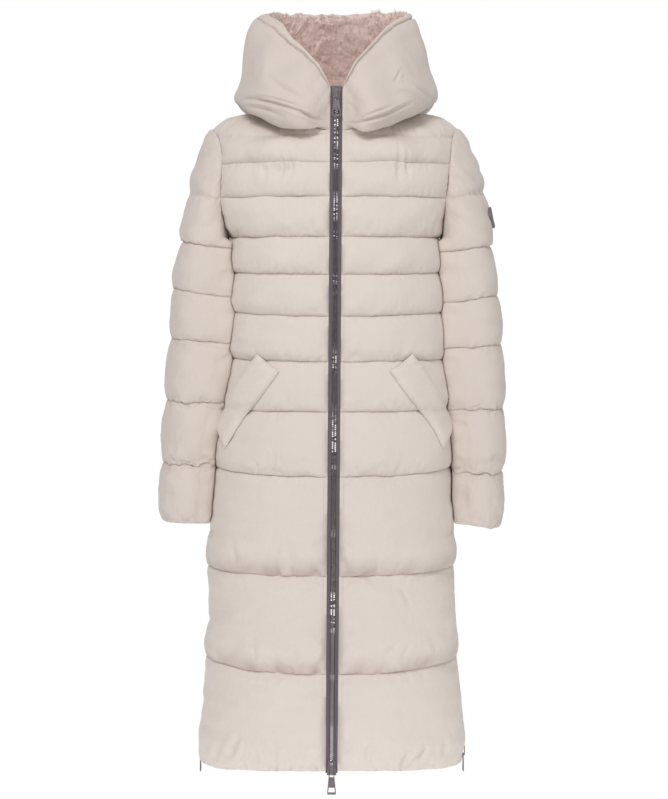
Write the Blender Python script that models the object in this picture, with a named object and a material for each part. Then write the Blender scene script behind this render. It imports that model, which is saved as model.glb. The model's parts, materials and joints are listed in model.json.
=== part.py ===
"""Long quilted coat with a fur-lined hood, filled out as if worn.

Run with: blender --background --python part.py
The coat hangs from the wearer's neck and shoulders, so the origin is the middle of that seat.
+X is the wearer's left, the front faces -Y, +Z is up. Tables are in millimetres.
"""
import math

import bpy
import numpy as np
from mathutils import Vector
from mathutils.bvhtree import BVHTree

MM = 0.001

# ---------------------------------------------------------------- driving dimensions, millimetres
SEAM_GAP = 0.3
SEAM_WALL = 3.0
INNER_PUFF = 0.35
SECTION_POWER = 2.4

SEAM_LEVELS = (-1031.0, -881.0, -727.0, -571.0, -469.0, -390.0, -318.0, -252.0, -192.0, -128.0, -73.0)
TALL_BAFFLES = 3
SAG = 1.45
SIDE_PUFF = 0.30
SIDE_REACH = 95.0
ARM_PUFF_REACH = 45.0
ZIP_PUFF = 0.05
ZIP_PUFF_REACH = 32.0
YOKE_PUFF = 5.0

ZIP_TOP = 46.0
ZIP_BOTTOM = -1034.0
ZIP_HALF = 9.5
CHAIN_HALF = 4.0
TAPE_THICK = 1.2
CHAIN_THICK = 2.6
VENT_TOP = -675.0
VENT_OPEN = -682.0

NECK_HALF = 82.0
NECK_FRONT = -116.0
NECK_BACK = 74.0
NECK_LOW = -23.0
NECK_SIDE_HEIGHT = 12.0
NECK_BACK_HEIGHT = 20.0
NECK_RISE = 0.7
NECK_SPRING = 16.0
SHOULDER_TIP_RIGHT = (200.0, -13.0)
SHOULDER_TIP_LEFT = (202.5, -11.5)

NECK_SLOPE = 0.8
SHOULDER_SLOPE = 0.3
TIP_SLOPE = 0.45
TOP_LEAVE = 0.38
TOP_ARRIVE = 0.30

RIGHT = -1
LEFT = 1


def table(names, rows):
    """A table with named columns, each a numpy array."""
    return dict(zip(names.split(), np.array(rows, float).T))


# Level sections of the body at its quilt seams: half widths at each side, depths in front and behind,
# and how far the padding stands out of the seams there.
BODY = table(
    "z right left front back puff",
    [
        (-1031, 217, 209, 150, 148, 8),
        (-960, 211, 206, 147, 146, 15),
        (-881, 208, 200, 143, 142, 16),
        (-820, 200, 195, 142, 140, 15),
        (-727, 206, 195, 141, 139, 15),
        (-660, 198, 191, 140, 137, 14),
        (-571, 195, 192, 139, 136, 12),
        (-469, 182, 190, 134, 131, 11),
        (-390, 171, 184, 130, 126, 10),
        (-318, 171, 183, 128, 123, 10),
        (-252, 169, 178, 127, 121, 9),
        (-192, 172, 174, 126, 119, 9),
        (-128, 183, 181, 123, 116, 8),
        (-73, 181, 187, 119, 111, 7),
    ],
)

# How far the level seams rise (or, at the hem, drop) from the middle to the sides.
SIDE_SHIFT = table(
    "z rise",
    [
        (-1031, -13),
        (-881, 10),
        (-727, 2),
        (-571, 6),
        (-469, 0),
        (-390, 2),
        (-318, 6),
        (-252, 3),
        (-192, 0),
    ],
)

# The armhole from armpit to shoulder: how far out it lies on each side, and its front and back edges.
ARMHOLE = table(
    "z right left front back",
    [
        (-192, 172, 174, 0, 0),
        (-183, 173, 175, 27, 27),
        (-171, 176, 176, 42, 42),
        (-150, 181, 179, 55, 55),
        (-128, 183, 181, 61, 61),
        (-100, 182, 184, 62, 62),
        (-73, 181, 187, 57, 57),
    ],
)

# How far the shoulder seam arches above the straight line from the neck to its tip.
SHOULDER_ARCH = table(
    "along rise", [(0, 0), (0.2, 3), (0.36, 8), (0.56, 15), (0.75, 15), (0.9, 9), (1, 1)]
)

ARMHOLE_TURN = 0.42
ARMHOLE_RISE = (-200.0, -160.0)

# Sleeve seams from the armpit to the cuff: x and z of the outer and inner ends, half depth, and the
# forward lean of the middle.

SLEEVE_RIGHT = table(
    "xo zo xi zi depth lean",
    [
        (249, -198, 176.5, -211, 74, 0),
        (263, -274, 175.5, -290, 72, 1),
        (266, -356, 179.0, -363, 69, 3),
        (274, -457, 187.0, -461, 65, 6),
        (280, -559, 202.5, -559, 60, 9),
        (281, -652, 209.0, -655, 54, 12),
    ],
)
SLEEVE_LEFT = table(
    "xo zo xi zi depth lean",
    [
        (257, -205, 180.5, -217, 74, 0),
        (268, -285, 189.5, -300, 72, 1),
        (273, -365, 192.0, -373, 69, 3),
        (276, -469, 198.5, -471, 65, 6),
        (275, -573, 203.5, -573, 60, 9),
        (270, -664, 206.0, -655, 54, 12),
    ],
)
SLEEVE_PUFF = 6.0
SLEEVE_SAG = 1.2
SLEEVE_DOWNS = (0.30, 0.72, 1.0)
CAP_V = (0.0, 0.22, 0.45, 0.72, 1.0)
SLEEVE_POWER = 2.3
SLEEVE_FLAT = 1.6
SLEEVE_HUG = table(
    "place inward", [(0, 5), (1, 10), (2, 12), (3, 9), (4, 2), (5, 1)]
)
HUG_ANGLE = 2.3
HUG_REACH = 0.55
INNER_HELD = 0.95
INNER_TURN = (0.5, 0.95)
ARMHOLE_GAP = 0.85
CAP_SEAM = (-118.0, 0.2, 237.0)
CAP_PULL = {RIGHT: 0.16, LEFT: 0.22}
CAP_REACH = 25.0

# Half of the hood, from the zip (turn 0) by the side of the neck (0.5) to the middle of the back (1).
# Each row runs from the neck seam by the low roll and the belly to the upper side and the rim.
HOOD = table(
    "turn roll_x roll_y roll_z belly_x belly_y belly_z upper_x upper_y upper_z rim_x rim_y rim_z",
    [
        (0.00, 9.8, -119, -8, 9.8, -122, 8, 9.8, -124, 26, 9.8, -125, 46),
        (0.15, 46, -133, -26, 52, -143, 2, 43, -137, 46, 29, -112, 84),
        (0.30, 84, -110, -21, 102, -122, 18, 92, -108, 74, 64, -74, 126),
        (0.40, 122, -70, 0, 142, -77, 28, 124, -66, 94, 94, -40, 156),
        (0.50, 142, 0, 21, 168, 0, 38, 154, 0, 92, 130, 0, 179),
        (0.62, 128, 66, 12, 160, 78, 34, 150, 78, 100, 125, 64, 187),
        (0.80, 76, 112, -20, 98, 160, 14, 98, 160, 98, 78, 118, 191),
        (1.00, 0, 138, -38, 0, 196, 10, 0, 196, 94, 0, 140, 192),
    ],
)
HOOD_SIDE_SCALE = {RIGHT: 0.995, LEFT: 1.035}
RIM_CURL = {RIGHT: 1.0, LEFT: 0.35}
RIM_INSET = 22.0
RIM_PULL = 77.0
FUR_THICK = 8.0

# Pocket welt: distance round from the zip and height of its four corners. The edge from the apex to
# the outer end stays open over the pocket; the edge from the corner to the foot is sewn down.
WELT_APEX = (118.0, -378.0)
WELT_CORNER = (78.0, -406.0)
WELT_FOOT = (182.0, -529.0)
WELT_OUTER = (216.0, -499.0)
WELT_THICK = 3.0

BADGE_PLACE = (258.0, -16.0, -158.0)
BADGE_FACING = (0.91, -0.31, 0.27)
BADGE_RADIUS = 18.5
BADGE_THICK = 2.0

LABEL_PLACE = (184.0, -30.0, -380.0)
LABEL_HEIGHT = 13.0
LABEL_REACH = 3.5

# Zips: the tapes lie a little below the panels' skin, and the closed teeth stand proud of the tapes.
TAPE_SINK = 0.8
CHAIN_PROUD = 0.9
SLIDER_PLATE = 1.8
SLIDER_CORE = 3.6
TOP_SLIDER = {"low": 26.0, "high": 46.5, "low_half": 5.2, "high_half": 7.6, "pull": 31.0}
BOTTOM_SLIDER = {"low": -1037.0, "high": -1015.0, "low_half": 7.4, "high_half": 5.2, "pull": 33.0}
VENT_SLIDER = {"low": -1045.0, "high": -1024.0, "low_half": 7.2, "high_half": 5.2, "pull": 28.0}
BAIL_HALF = 2.4
BAIL_INNER = 1.5
BAIL_OUTER = 2.9
PULL_STANDOFF = 1.7
PULL_THICK = 1.6

# ---------------------------------------------------------------- curves and sections


def smooth(xs, ys, q):
    """Values at q of a curve through the points that rises and falls only where they do."""
    xs = np.asarray(xs, float)
    ys = np.asarray(ys, float)
    step = np.diff(xs)
    slope = np.diff(ys) / step
    tangent = np.zeros_like(ys)
    tangent[0] = slope[0]
    tangent[-1] = slope[-1]
    same = slope[:-1] * slope[1:] > 0
    w1 = 2 * step[1:] + step[:-1]
    w2 = step[1:] + 2 * step[:-1]
    safe = np.where(same, slope[:-1] * slope[1:], 1.0)
    mean = (w1 + w2) * safe / (w1 * slope[1:] + w2 * slope[:-1] + np.where(same, 0.0, 1e9))
    tangent[1:-1] = np.where(same, mean, 0.0)
    q = np.clip(np.asarray(q, float), xs[0], xs[-1])
    k = np.clip(np.searchsorted(xs, q, side="right") - 1, 0, len(xs) - 2)
    t = (q - xs[k]) / step[k]
    h = step[k]
    return (
        ys[k] * (1 + 2 * t) * (1 - t) ** 2
        + tangent[k] * h * t * (1 - t) ** 2
        + ys[k + 1] * t * t * (3 - 2 * t)
        + tangent[k + 1] * h * t * t * (t - 1)
    )


def ease(low, high, value):
    t = np.clip((np.asarray(value, float) - low) / (high - low), 0.0, 1.0)
    return t * t * (3 - 2 * t)


def dome(distance, reach):
    """Rises steeply from 0 at a seam and levels off at 1 a reach away."""
    t = 1 - np.clip(np.asarray(distance, float) / reach, 0.0, 1.0)
    return np.sqrt(1 - t * t)


def side_name(side):
    return "right" if side == RIGHT else "left"


def zip_line(z):
    """How far the zip stands towards the wearer's left at a height."""
    return smooth((-1045.0, -500.0, 60.0), (-4.0, 0.0, 4.0), z)


def front_edge(z, side):
    """Distance of a front's zip edge from the middle of the coat."""
    return side * zip_line(z) + ZIP_HALF + SEAM_GAP


def side_edge(z):
    """Half the gap between front and back at the side: a seam, and below it the vent zip."""
    return SEAM_GAP / 2 + (ZIP_HALF + SEAM_GAP / 2) * ease(VENT_TOP, VENT_OPEN, z)


def edge_of_body(z, side):
    """x, front y and back y of the side seam, or of the armhole above the armpit."""
    name = side_name(side)
    armpit = ARMHOLE["z"][0]
    in_arm = z > armpit + 0.01
    x_low = smooth(BODY["z"], BODY[name], z)
    x_arm = smooth(ARMHOLE["z"], ARMHOLE[name], z)
    gap = side_edge(z)
    y_front = np.where(in_arm, -smooth(ARMHOLE["z"], ARMHOLE["front"], z), -gap)
    y_back = np.where(in_arm, smooth(ARMHOLE["z"], ARMHOLE["back"], z), gap)
    return np.where(in_arm, x_arm, x_low), y_front, y_back


def body_row(z, u, side, facing):
    """Points of one level section from the middle (u 0) to the side (u 1), on the quilt seams' skin."""
    z = np.full_like(u, z)
    x_edge, y_front, y_back = edge_of_body(z, side)
    last = math.pi / 2 * (1 - ARMHOLE_TURN * ease(*ARMHOLE_RISE, z))
    power = 2 / SECTION_POWER
    end = np.cos(last) ** power
    end = np.where(last > 1.57, 0.0, end)
    out = np.sin(u * last) ** power / np.sin(last) ** power
    ahead = np.maximum(np.cos(u * last), 0) ** power
    ahead = (ahead - end) / (1 - end)
    if facing == "front":
        start = front_edge(z, side)
        depth = smooth(BODY["z"], BODY["front"], z)
        y = y_front - (depth + y_front) * ahead
    else:
        start = np.zeros_like(z)
        depth = smooth(BODY["z"], BODY["back"], z)
        y = y_back + (depth - y_back) * ahead
    x = start + (x_edge - start) * out
    return np.stack([side * x, y, z], axis=-1)


def top_line(u, side, facing, neck_u):
    """The neck seam as far as neck_u, then the shoulder seam out to the shoulder tip."""
    turn = np.clip(u / neck_u, 0, 1) * math.pi / 2
    along = np.clip((u - neck_u) / (1 - neck_u), 0, 1)
    if facing == "front":
        start = front_edge(np.full_like(u, NECK_LOW), side)
        y = NECK_FRONT * np.cos(turn)
        low = NECK_LOW
    else:
        start = np.zeros_like(u)
        y = NECK_BACK * np.cos(turn)
        low = NECK_BACK_HEIGHT
    x = start + (NECK_HALF - start) * np.sin(turn)
    z = low + (NECK_SIDE_HEIGHT - low) * np.sin(turn) ** 2
    gap = -SEAM_GAP / 2 if facing == "front" else SEAM_GAP / 2
    tip_x, tip_z = SHOULDER_TIP_RIGHT if side == RIGHT else SHOULDER_TIP_LEFT
    x = x + (tip_x - NECK_HALF) * along
    z = z + (tip_z - NECK_SIDE_HEIGHT) * along
    z = z + smooth(SHOULDER_ARCH["along"], SHOULDER_ARCH["rise"], along)
    y = np.where(np.abs(y) < abs(gap), gap, y)
    return np.stack([side * x, y, z], axis=-1)


def top_rows(v, u, side, facing, neck_u):
    """The chest or shoulder-blade part, rounding from the highest level seam to the top line."""
    level = SEAM_LEVELS[-1]
    p0 = body_row(level, u, side, facing)
    p3 = top_line(u, side, facing, neck_u)
    below = body_row(level - 12, u, side, facing)
    rise = (p0 - below) / 12
    rise = rise / np.linalg.norm(rise, axis=-1, keepdims=True)
    span = np.linalg.norm(p3 - p0, axis=-1, keepdims=True)
    slope = NECK_SLOPE - (NECK_SLOPE - SHOULDER_SLOPE) * ease(0, neck_u, u)
    back_in = 1.0 if facing == "front" else -1.0
    sideways = side * TIP_SLOPE * ease(neck_u, 1.0, u) ** 2
    arrive = np.stack([sideways, np.full_like(u, back_in), slope], axis=-1)
    steep = ease(0.0, neck_u, u)[:, None]
    straight = (p3 - p0) / span
    arrive = straight * (1 - steep) + arrive * steep
    arrive = arrive / np.linalg.norm(arrive, axis=-1, keepdims=True)
    p1 = p0 + rise * span * TOP_LEAVE
    p2 = p3 - arrive * span * TOP_ARRIVE
    v = np.asarray(v, float)[:, None, None]
    return (1 - v) ** 3 * p0 + 3 * v * (1 - v) ** 2 * p1 + 3 * v * v * (1 - v) * p2 + v**3 * p3


def level_rows():
    """Heights of the rows and how far down each lies in its baffle, from the hem up to the chest seam."""
    heights = []
    downs = []
    for k, (low, high) in enumerate(zip(SEAM_LEVELS[:-1], SEAM_LEVELS[1:])):
        fractions = (1.0, 0.85, 0.58, 0.25) if k < TALL_BAFFLES else (1.0, 0.74, 0.33)
        for down in fractions:
            heights.append(high - (high - low) * down)
            downs.append(down)
        if low < VENT_OPEN < high:
            heights[-2] = VENT_OPEN
            downs[-2] = (high - VENT_OPEN) / (high - low)
            heights.insert(-1, VENT_TOP)
            downs.insert(-1, (high - VENT_TOP) / (high - low))
    heights.append(SEAM_LEVELS[-1])
    downs.append(0.0)
    return np.array(heights), np.array(downs)


TOP_V = np.array([0.5, 1.0])


def body_half(u, side, facing, neck_u):
    """Base grid of half a panel and how much the padding lifts each of its points."""
    heights, downs = level_rows()
    rows = [body_row(z, u, side, facing) for z in heights]
    amount = smooth(BODY["z"], BODY["puff"], heights)
    lift = amount * np.sin(math.pi * downs**SAG) ** 0.75
    grid = np.array(rows)
    shift = smooth(SIDE_SHIFT["z"], SIDE_SHIFT["rise"], heights)[:, None]
    grid[..., 2] += shift * np.sin(u * math.pi / 2) ** 2
    top = top_rows(TOP_V, u, side, facing, neck_u)
    top_lift = YOKE_PUFF * np.sin(math.pi * TOP_V) ** 0.75
    grid = np.concatenate([grid, top])
    lift = np.concatenate([lift, top_lift])[:, None] * np.ones(len(u))
    to_neck = np.hypot(np.abs(grid[..., 0]) / NECK_HALF, grid[..., 1] / NECK_FRONT)
    under_hood = (grid[..., 2] > SEAM_LEVELS[-1]) & (to_neck < 1.5)
    lift = np.where(under_hood, lift * ease(1.1, 1.5, to_neck), lift)
    to_side = np.linalg.norm(grid - grid[:, -1:], axis=-1)
    in_arm = grid[:, -1:, 2] > ARMHOLE["z"][0] - 1
    low_side = SIDE_PUFF + (1 - SIDE_PUFF) * ease(0, SIDE_REACH, to_side)
    lift = lift * np.where(in_arm, dome(to_side, ARM_PUFF_REACH), low_side)
    if facing == "front":
        to_zip = np.linalg.norm(grid - grid[:, :1], axis=-1)
        lift = lift * (ZIP_PUFF + (1 - ZIP_PUFF) * dome(to_zip, ZIP_PUFF_REACH))
    return grid, lift


def cross_normals(grid, around=False):
    """Unit normals of a grid of points, along rows and columns."""
    if around:
        across = np.roll(grid, -1, axis=1) - np.roll(grid, 1, axis=1)
    else:
        across = np.gradient(grid, axis=1)
    along = np.gradient(grid, axis=0)
    normal = np.cross(across, along)
    return normal / np.maximum(np.linalg.norm(normal, axis=-1, keepdims=True), 1e-9)


def outward(normals, grid):
    """Turns the normals to point away from the body's upright axis."""
    away = grid.copy()
    away[..., 2] = 0
    towards = np.sum(normals * away, axis=-1)
    return normals if np.sum(towards) > 0 else -normals


# ---------------------------------------------------------------- meshes


def wall_mesh(outer, inner, around=False):
    """Vertices and faces of a closed wall between two grids, as a tube or as an open panel."""
    rows, cols = outer.shape[:2]
    verts = np.concatenate([outer.reshape(-1, 3), inner.reshape(-1, 3)])
    half = rows * cols
    faces = []
    last = cols if around else cols - 1
    for r in range(rows - 1):
        for c in range(last):
            n = (c + 1) % cols
            a, b, d, e = r * cols + c, r * cols + n, (r + 1) * cols + n, (r + 1) * cols + c
            faces += [(a, b, d), (a, d, e)]
            faces += [(half + d, half + b, half + a), (half + e, half + d, half + a)]
    for c in range(last):
        n = (c + 1) % cols
        faces.append((c, half + c, half + n, n))
        top = (rows - 1) * cols
        faces.append((top + n, half + top + n, half + top + c, top + c))
    if not around:
        for r in range(rows - 1):
            a, b = r * cols, (r + 1) * cols
            faces.append((b, half + b, half + a, a))
            a, b = a + cols - 1, b + cols - 1
            faces.append((a, half + a, half + b, b))
    return verts, faces


def volume_of(verts, faces):
    total = 0.0
    for face in faces:
        a = verts[face[0]]
        for k in range(1, len(face) - 1):
            total += np.dot(a, np.cross(verts[face[k]], verts[face[k + 1]]))
    return total / 6


def make_material(name, colour, roughness, metallic=0.0):
    found = bpy.data.materials.get(name)
    if found:
        return found
    material = bpy.data.materials.new(name)
    material.use_nodes = True
    shader = material.node_tree.nodes["Principled BSDF"]
    shader.inputs["Base Color"].default_value = (*colour, 1.0)
    shader.inputs["Roughness"].default_value = roughness
    shader.inputs["Metallic"].default_value = metallic
    material.diffuse_color = (*colour, 1.0)
    return material


def shell_cloth():
    return make_material("shell_cloth", (0.70, 0.63, 0.56), 0.62)


def fur():
    return make_material("pink_fur", (0.52, 0.37, 0.34), 0.9)


def tape_cloth():
    return make_material("zip_tape", (0.13, 0.10, 0.11), 0.75)


def dark_metal():
    return make_material("dark_metal", (0.22, 0.19, 0.21), 0.35, 0.9)


def badge_rubber():
    return make_material("badge_rubber", (0.16, 0.135, 0.13), 0.55)


def label_cloth():
    return make_material("label_cloth", (0.80, 0.76, 0.74), 0.7)


def add_object(name, verts, faces, material, parent=None, smooth_angle=40.0):
    """A mesh object from points in millimetres, with its faces turned outwards."""
    verts = np.asarray(verts, float)
    if volume_of(verts, faces) < 0:
        faces = [tuple(reversed(face)) for face in faces]
    mesh = bpy.data.meshes.new(name)
    origin = np.array(parent.location if parent else (0, 0, 0), float)
    mesh.from_pydata([tuple(v) for v in verts * MM - origin], [], faces)
    mesh.validate()
    mesh.materials.append(material)
    mesh.shade_smooth()
    mesh.set_sharp_from_angle(angle=math.radians(smooth_angle))
    obj = bpy.data.objects.new(name, mesh)
    bpy.context.scene.collection.objects.link(obj)
    if parent:
        obj.parent = parent
    return obj


def clear_scene():
    for obj in list(bpy.data.objects):
        bpy.data.objects.remove(obj, do_unlink=True)


# ---------------------------------------------------------------- body panels

FRONT_U = np.linspace(0, 1, 9)
BACK_U = np.array([0.0, 0.125, 0.25, 0.375, 0.58, 0.79, 1.0])
NECK_U = 0.375


def panel_walls(grid, lift, normals):
    outer = grid + normals * lift[..., None]
    inner = grid - normals * (SEAM_WALL + lift * INNER_PUFF)[..., None]
    return outer, inner


def panel_normals(grid):
    """Outward normals, with the side and shoulder seams sharing theirs with the neighbour panel."""
    normals = outward(cross_normals(grid), grid)
    shoulder = grid[-1, :, 0].copy()
    on_seam = np.abs(grid[-1, :, 1]) < SEAM_GAP
    normals[-1, on_seam, 1] = 0
    below_arm = grid[:, :, 2] < ARMHOLE["z"][0] + 0.01
    for column in (0, -1):
        at_side = below_arm[:, column] & (np.abs(grid[:, column, 0]) > shoulder.max() * 0.5)
        at_side = at_side & (np.abs(grid[:, column, 1]) < 2 * ZIP_HALF)
        normals[at_side, column, 1] = 0
    return normals / np.linalg.norm(normals, axis=-1, keepdims=True)


def front_parts(side):
    grid, lift = body_half(FRONT_U, side, "front", NECK_U)
    normals = panel_normals(grid)
    normals[:, 0, 0] = 0
    return grid, lift, normals / np.linalg.norm(normals, axis=-1, keepdims=True)


def back_parts():
    left, lift_left = body_half(BACK_U, LEFT, "back", NECK_U)
    right, lift_right = body_half(BACK_U, RIGHT, "back", NECK_U)
    grid = np.concatenate([right[:, ::-1], left[:, 1:]], axis=1)
    lift = np.concatenate([lift_right[:, ::-1], lift_left[:, 1:]], axis=1)
    return grid, lift, panel_normals(grid)


def make_body():
    for side in (RIGHT, LEFT):
        outer, inner = panel_walls(*front_parts(side))
        add_object("front_" + side_name(side), *wall_mesh(outer, inner), shell_cloth())
    outer, inner = panel_walls(*back_parts())
    add_object("back", *wall_mesh(outer, inner), shell_cloth())


# ---------------------------------------------------------------- sleeves


def armhole_loop(side):
    """The armhole's edge points and outward normals, from the shoulder tip down the front and up the back."""
    front, _, front_normals = front_parts(side)
    back, _, back_normals = back_parts()
    column = -1 if side == LEFT else 0
    first = int(np.argmin(np.abs(front[:, -1, 2] - ARMHOLE["z"][0])))
    down_front = front[first:, -1][::-1]
    up_back = back[first + 1 : -1, column]
    normals = np.concatenate([front_normals[first:, -1][::-1], back_normals[first + 1 : -1, column]])
    return np.concatenate([down_front, up_back]), normals


def sleeve_ring(place, side, angles):
    """One oval section of the sleeve: place counts seams down from the armpit to the cuff."""
    rows = SLEEVE_RIGHT if side == RIGHT else SLEEVE_LEFT
    count = np.arange(len(rows["xo"]))
    xo, zo, xi, zi, depth, lean = (
        float(smooth(count, rows[key], place)) for key in ("xo", "zo", "xi", "zi", "depth", "lean")
    )
    c = np.cos(angles)
    s = np.sin(angles)
    power = 2 / (SLEEVE_POWER + SLEEVE_FLAT * ease(0.0, 1.0, -c))
    across = np.sign(c) * np.abs(c) ** power
    ahead = np.sign(s) * np.abs(s) ** power
    x = (xo + xi) / 2 + (xo - xi) / 2 * across
    hug = float(smooth(SLEEVE_HUG["place"], SLEEVE_HUG["inward"], place))
    x = x - hug * np.exp(-(((angles - HUG_ANGLE) / HUG_REACH) ** 2))
    z = (zo + zi) / 2 + (zo - zi) / 2 * across
    y = -lean - depth * ahead
    return np.stack([side * x, y, z], axis=-1)


def sleeve_grid(side):
    """Base grid, padding lift and normals of a sleeve, from the armhole to the cuff."""
    loop, edge_normals = armhole_loop(side)
    angles = np.arange(len(loop)) * 2 * math.pi / len(loop)
    near = (1 + np.cos(angles)) / 2
    first = sleeve_ring(0, side, angles)
    second = sleeve_ring(0.15, side, angles)
    axis = second - first
    axis = axis / np.linalg.norm(axis, axis=-1, keepdims=True)
    leave = np.stack(
        [side * (0.35 + 0.45 * near), -0.22 * np.sin(angles), -(0.95 - 0.35 * near)], axis=-1
    )
    leave = leave / np.linalg.norm(leave, axis=-1, keepdims=True)
    start = loop + np.array([side * ARMHOLE_GAP, 0.0, 0.0])
    span = np.linalg.norm(first - start, axis=-1, keepdims=True)
    p1 = start + leave * span * CAP_PULL[side]
    p2 = first - axis * span * CAP_PULL[side]
    rows = []
    lifts = []
    level, tilt, reach = CAP_SEAM
    for v in CAP_V:
        row = (1 - v) ** 3 * start + 3 * v * (1 - v) ** 2 * p1 + 3 * v * v * (1 - v) * p2 + v**3 * first
        seam = level - (reach - np.abs(row[:, 0])) * tilt
        to_seam = np.abs(row[:, 2] - seam)
        to_edge = np.linalg.norm(row - start, axis=-1)
        to_ring = np.linalg.norm(row - first, axis=-1)
        held = dome(to_seam, CAP_REACH) * dome(to_edge, CAP_REACH) * dome(to_ring, CAP_REACH)
        lift = SLEEVE_PUFF * held
        rows.append(row)
        lifts.append(lift)
    for baffle in range(5):
        for down in SLEEVE_DOWNS:
            rows.append(sleeve_ring(baffle + down, side, angles))
            swell = math.sin(math.pi * down**SLEEVE_SAG) ** 0.75 if down < 1 else 0.0
            lifts.append(np.full(len(angles), SLEEVE_PUFF * swell))
    grid = np.array(rows)
    lift = np.array(lifts)
    inward = 1 - INNER_HELD * ease(*INNER_TURN, -np.cos(angles))
    lift = lift * inward[None, :]
    normals = cross_normals(grid, around=True)
    centre = grid.mean(axis=1, keepdims=True)
    below_cap = len(CAP_V)
    if np.sum(normals[below_cap:] * (grid - centre)[below_cap:]) < 0:
        normals = -normals
    own = ease(0.55, 0.85, -np.cos(angles))[:, None]
    normals[0] = edge_normals * (1 - own) + normals[1] * own
    normals[0] /= np.linalg.norm(normals[0], axis=-1, keepdims=True)
    return grid, lift, normals


def make_sleeves():
    for side in (RIGHT, LEFT):
        outer, inner = panel_walls(*sleeve_grid(side))
        mesh = wall_mesh(outer, inner, around=True)
        add_object("sleeve_" + side_name(side), *mesh, shell_cloth())


# ---------------------------------------------------------------- hood and its fur


def neck_curve(turns):
    """The neck seam round half the hood, just above the body's own neck edge."""
    angle = np.where(turns < 0.5, turns, 1 - turns) * math.pi
    ahead = turns < 0.5
    start = np.where(ahead, ZIP_HALF + SEAM_GAP, 0.0)
    x = start + (NECK_HALF - start) * np.sin(angle)
    y = np.where(ahead, NECK_FRONT, NECK_BACK) * np.cos(angle)
    low = np.where(ahead, NECK_LOW, NECK_BACK_HEIGHT)
    z = low + (NECK_SIDE_HEIGHT - low) * np.sin(angle) ** 2
    return np.stack([x, y, z + NECK_RISE], axis=-1)


def hood_sheet(side, turns, places):
    """Outer skin of half the hood at places 0 (neck seam) to 4 (rim)."""
    guides = [neck_curve(turns)]
    for part in ("roll", "belly", "upper", "rim"):
        columns = [smooth(HOOD["turn"], HOOD[f"{part}_{axis}"], turns) for axis in "xyz"]
        guides.append(np.stack(columns, axis=-1))
    guides = np.array(guides)
    tangents = np.zeros_like(guides)
    tangents[1:-1] = (guides[2:] - guides[:-2]) / 2
    tangents[0] = guides[1] - guides[0]
    tangents[0, :, 2] += NECK_SPRING * ease(0.0, 0.15, turns)
    curl = RIM_CURL[side] * ease(0.3, 0.5, turns) * (1 - ease(0.66, 0.9, turns))
    guides[-1, :, 0] -= RIM_INSET * curl
    tangents[-2, :, 0] += 0.6 * RIM_INSET * curl
    tangents[-2, :, 2] += RIM_INSET * curl
    tangents[-1] = guides[-1] - guides[-2]
    tangents[-1, :, 0] -= RIM_PULL * curl
    tangents[-1, :, 2] -= RIM_PULL * curl
    sheet = []
    for place in places:
        k = min(int(place), 3)
        t = place - k
        sheet.append(
            guides[k] * (1 + 2 * t) * (1 - t) ** 2
            + tangents[k] * t * (1 - t) ** 2
            + guides[k + 1] * t * t * (3 - 2 * t)
            + tangents[k + 1] * t * t * (t - 1)
        )
    sheet = np.array(sheet)
    scale = HOOD_SIDE_SCALE[side]
    sheet[..., 0] *= 1 + (scale - 1) * ease(90, 140, sheet[..., 0])
    sheet[..., 0] += side * zip_line(sheet[..., 2]) * (1 - ease(0.0, 0.4, turns))
    sheet[:, -1, 0] = SEAM_GAP / 2
    sheet[..., 0] *= side
    return sheet


def hood_normals(sheet, side):
    normals = cross_normals(sheet)
    normals = normals if side == LEFT else -normals
    normals[:, (0, -1), 0] = 0
    return normals / np.linalg.norm(normals, axis=-1, keepdims=True)


HOOD_TURNS = np.linspace(0, 1, 13)
HOOD_PLACES = np.array([0.0, 0.4, 0.75, 1.15, 1.55, 2.0, 2.6, 3.2, 3.7, 4.0])
SHELL_WALL = table("place wall", [(0, 3.0), (1, 5.0), (2, 9.0), (3, 10.0), (4, 7.0)])


def make_hood():
    for side in (RIGHT, LEFT):
        sheet = hood_sheet(side, HOOD_TURNS, HOOD_PLACES)
        normals = hood_normals(sheet, side)
        wall = smooth(SHELL_WALL["place"], SHELL_WALL["wall"], HOOD_PLACES)[:, None, None]
        front = 0.35 + 0.65 * ease(0.0, 0.15, HOOD_TURNS)[None, :, None]
        inner = sheet - normals * wall * front
        add_object("hood_" + side_name(side), *wall_mesh(sheet, inner), shell_cloth())
        keep_u = HOOD_TURNS > 0.05
        keep_v = (HOOD_PLACES > 0.3) & (HOOD_PLACES < 3.9)
        back_skin = sheet - normals * (wall * front + SEAM_GAP)
        pile = FUR_THICK * (0.55 + 0.45 * ease(0.5, 2.0, HOOD_PLACES))[:, None, None]
        face_skin = back_skin - normals * pile
        pick = np.ix_(keep_v, keep_u)
        mesh = wall_mesh(back_skin[pick], face_skin[pick])
        add_object("fur_lining_" + side_name(side), *mesh, fur())


# ---------------------------------------------------------------- zips


def skin_line(side):
    """Heights and forward places of the coat's skin along the front zip, from hem to hood rim."""
    grid, lift, normals = front_parts(side)
    body = (grid + normals * lift[..., None])[:, 0]
    hood = hood_sheet(side, np.array([0.0, 0.05]), HOOD_PLACES)[:, 0]
    line = np.concatenate([body, hood[1:]])
    return line[:, 2], line[:, 1]


def strip_mesh(centre, out, near, far, back, thick):
    """A strip following a line: centre points, outward unit vector, reach across and depth behind."""
    across = np.cross((0.0, 0.0, 1.0), out)
    front = [centre + across * a - out * back for a in (near, far)]
    behind = [centre + across * a - out * (back + thick) for a in (near, far)]
    return wall_mesh(np.stack(front, axis=1), np.stack(behind, axis=1))


def zip_heights():
    levels = [z for z in SEAM_LEVELS if z > ZIP_BOTTOM] + [-48.0, NECK_LOW, 0.0, 18.0, ZIP_TOP]
    return np.array([ZIP_BOTTOM] + levels)


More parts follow.
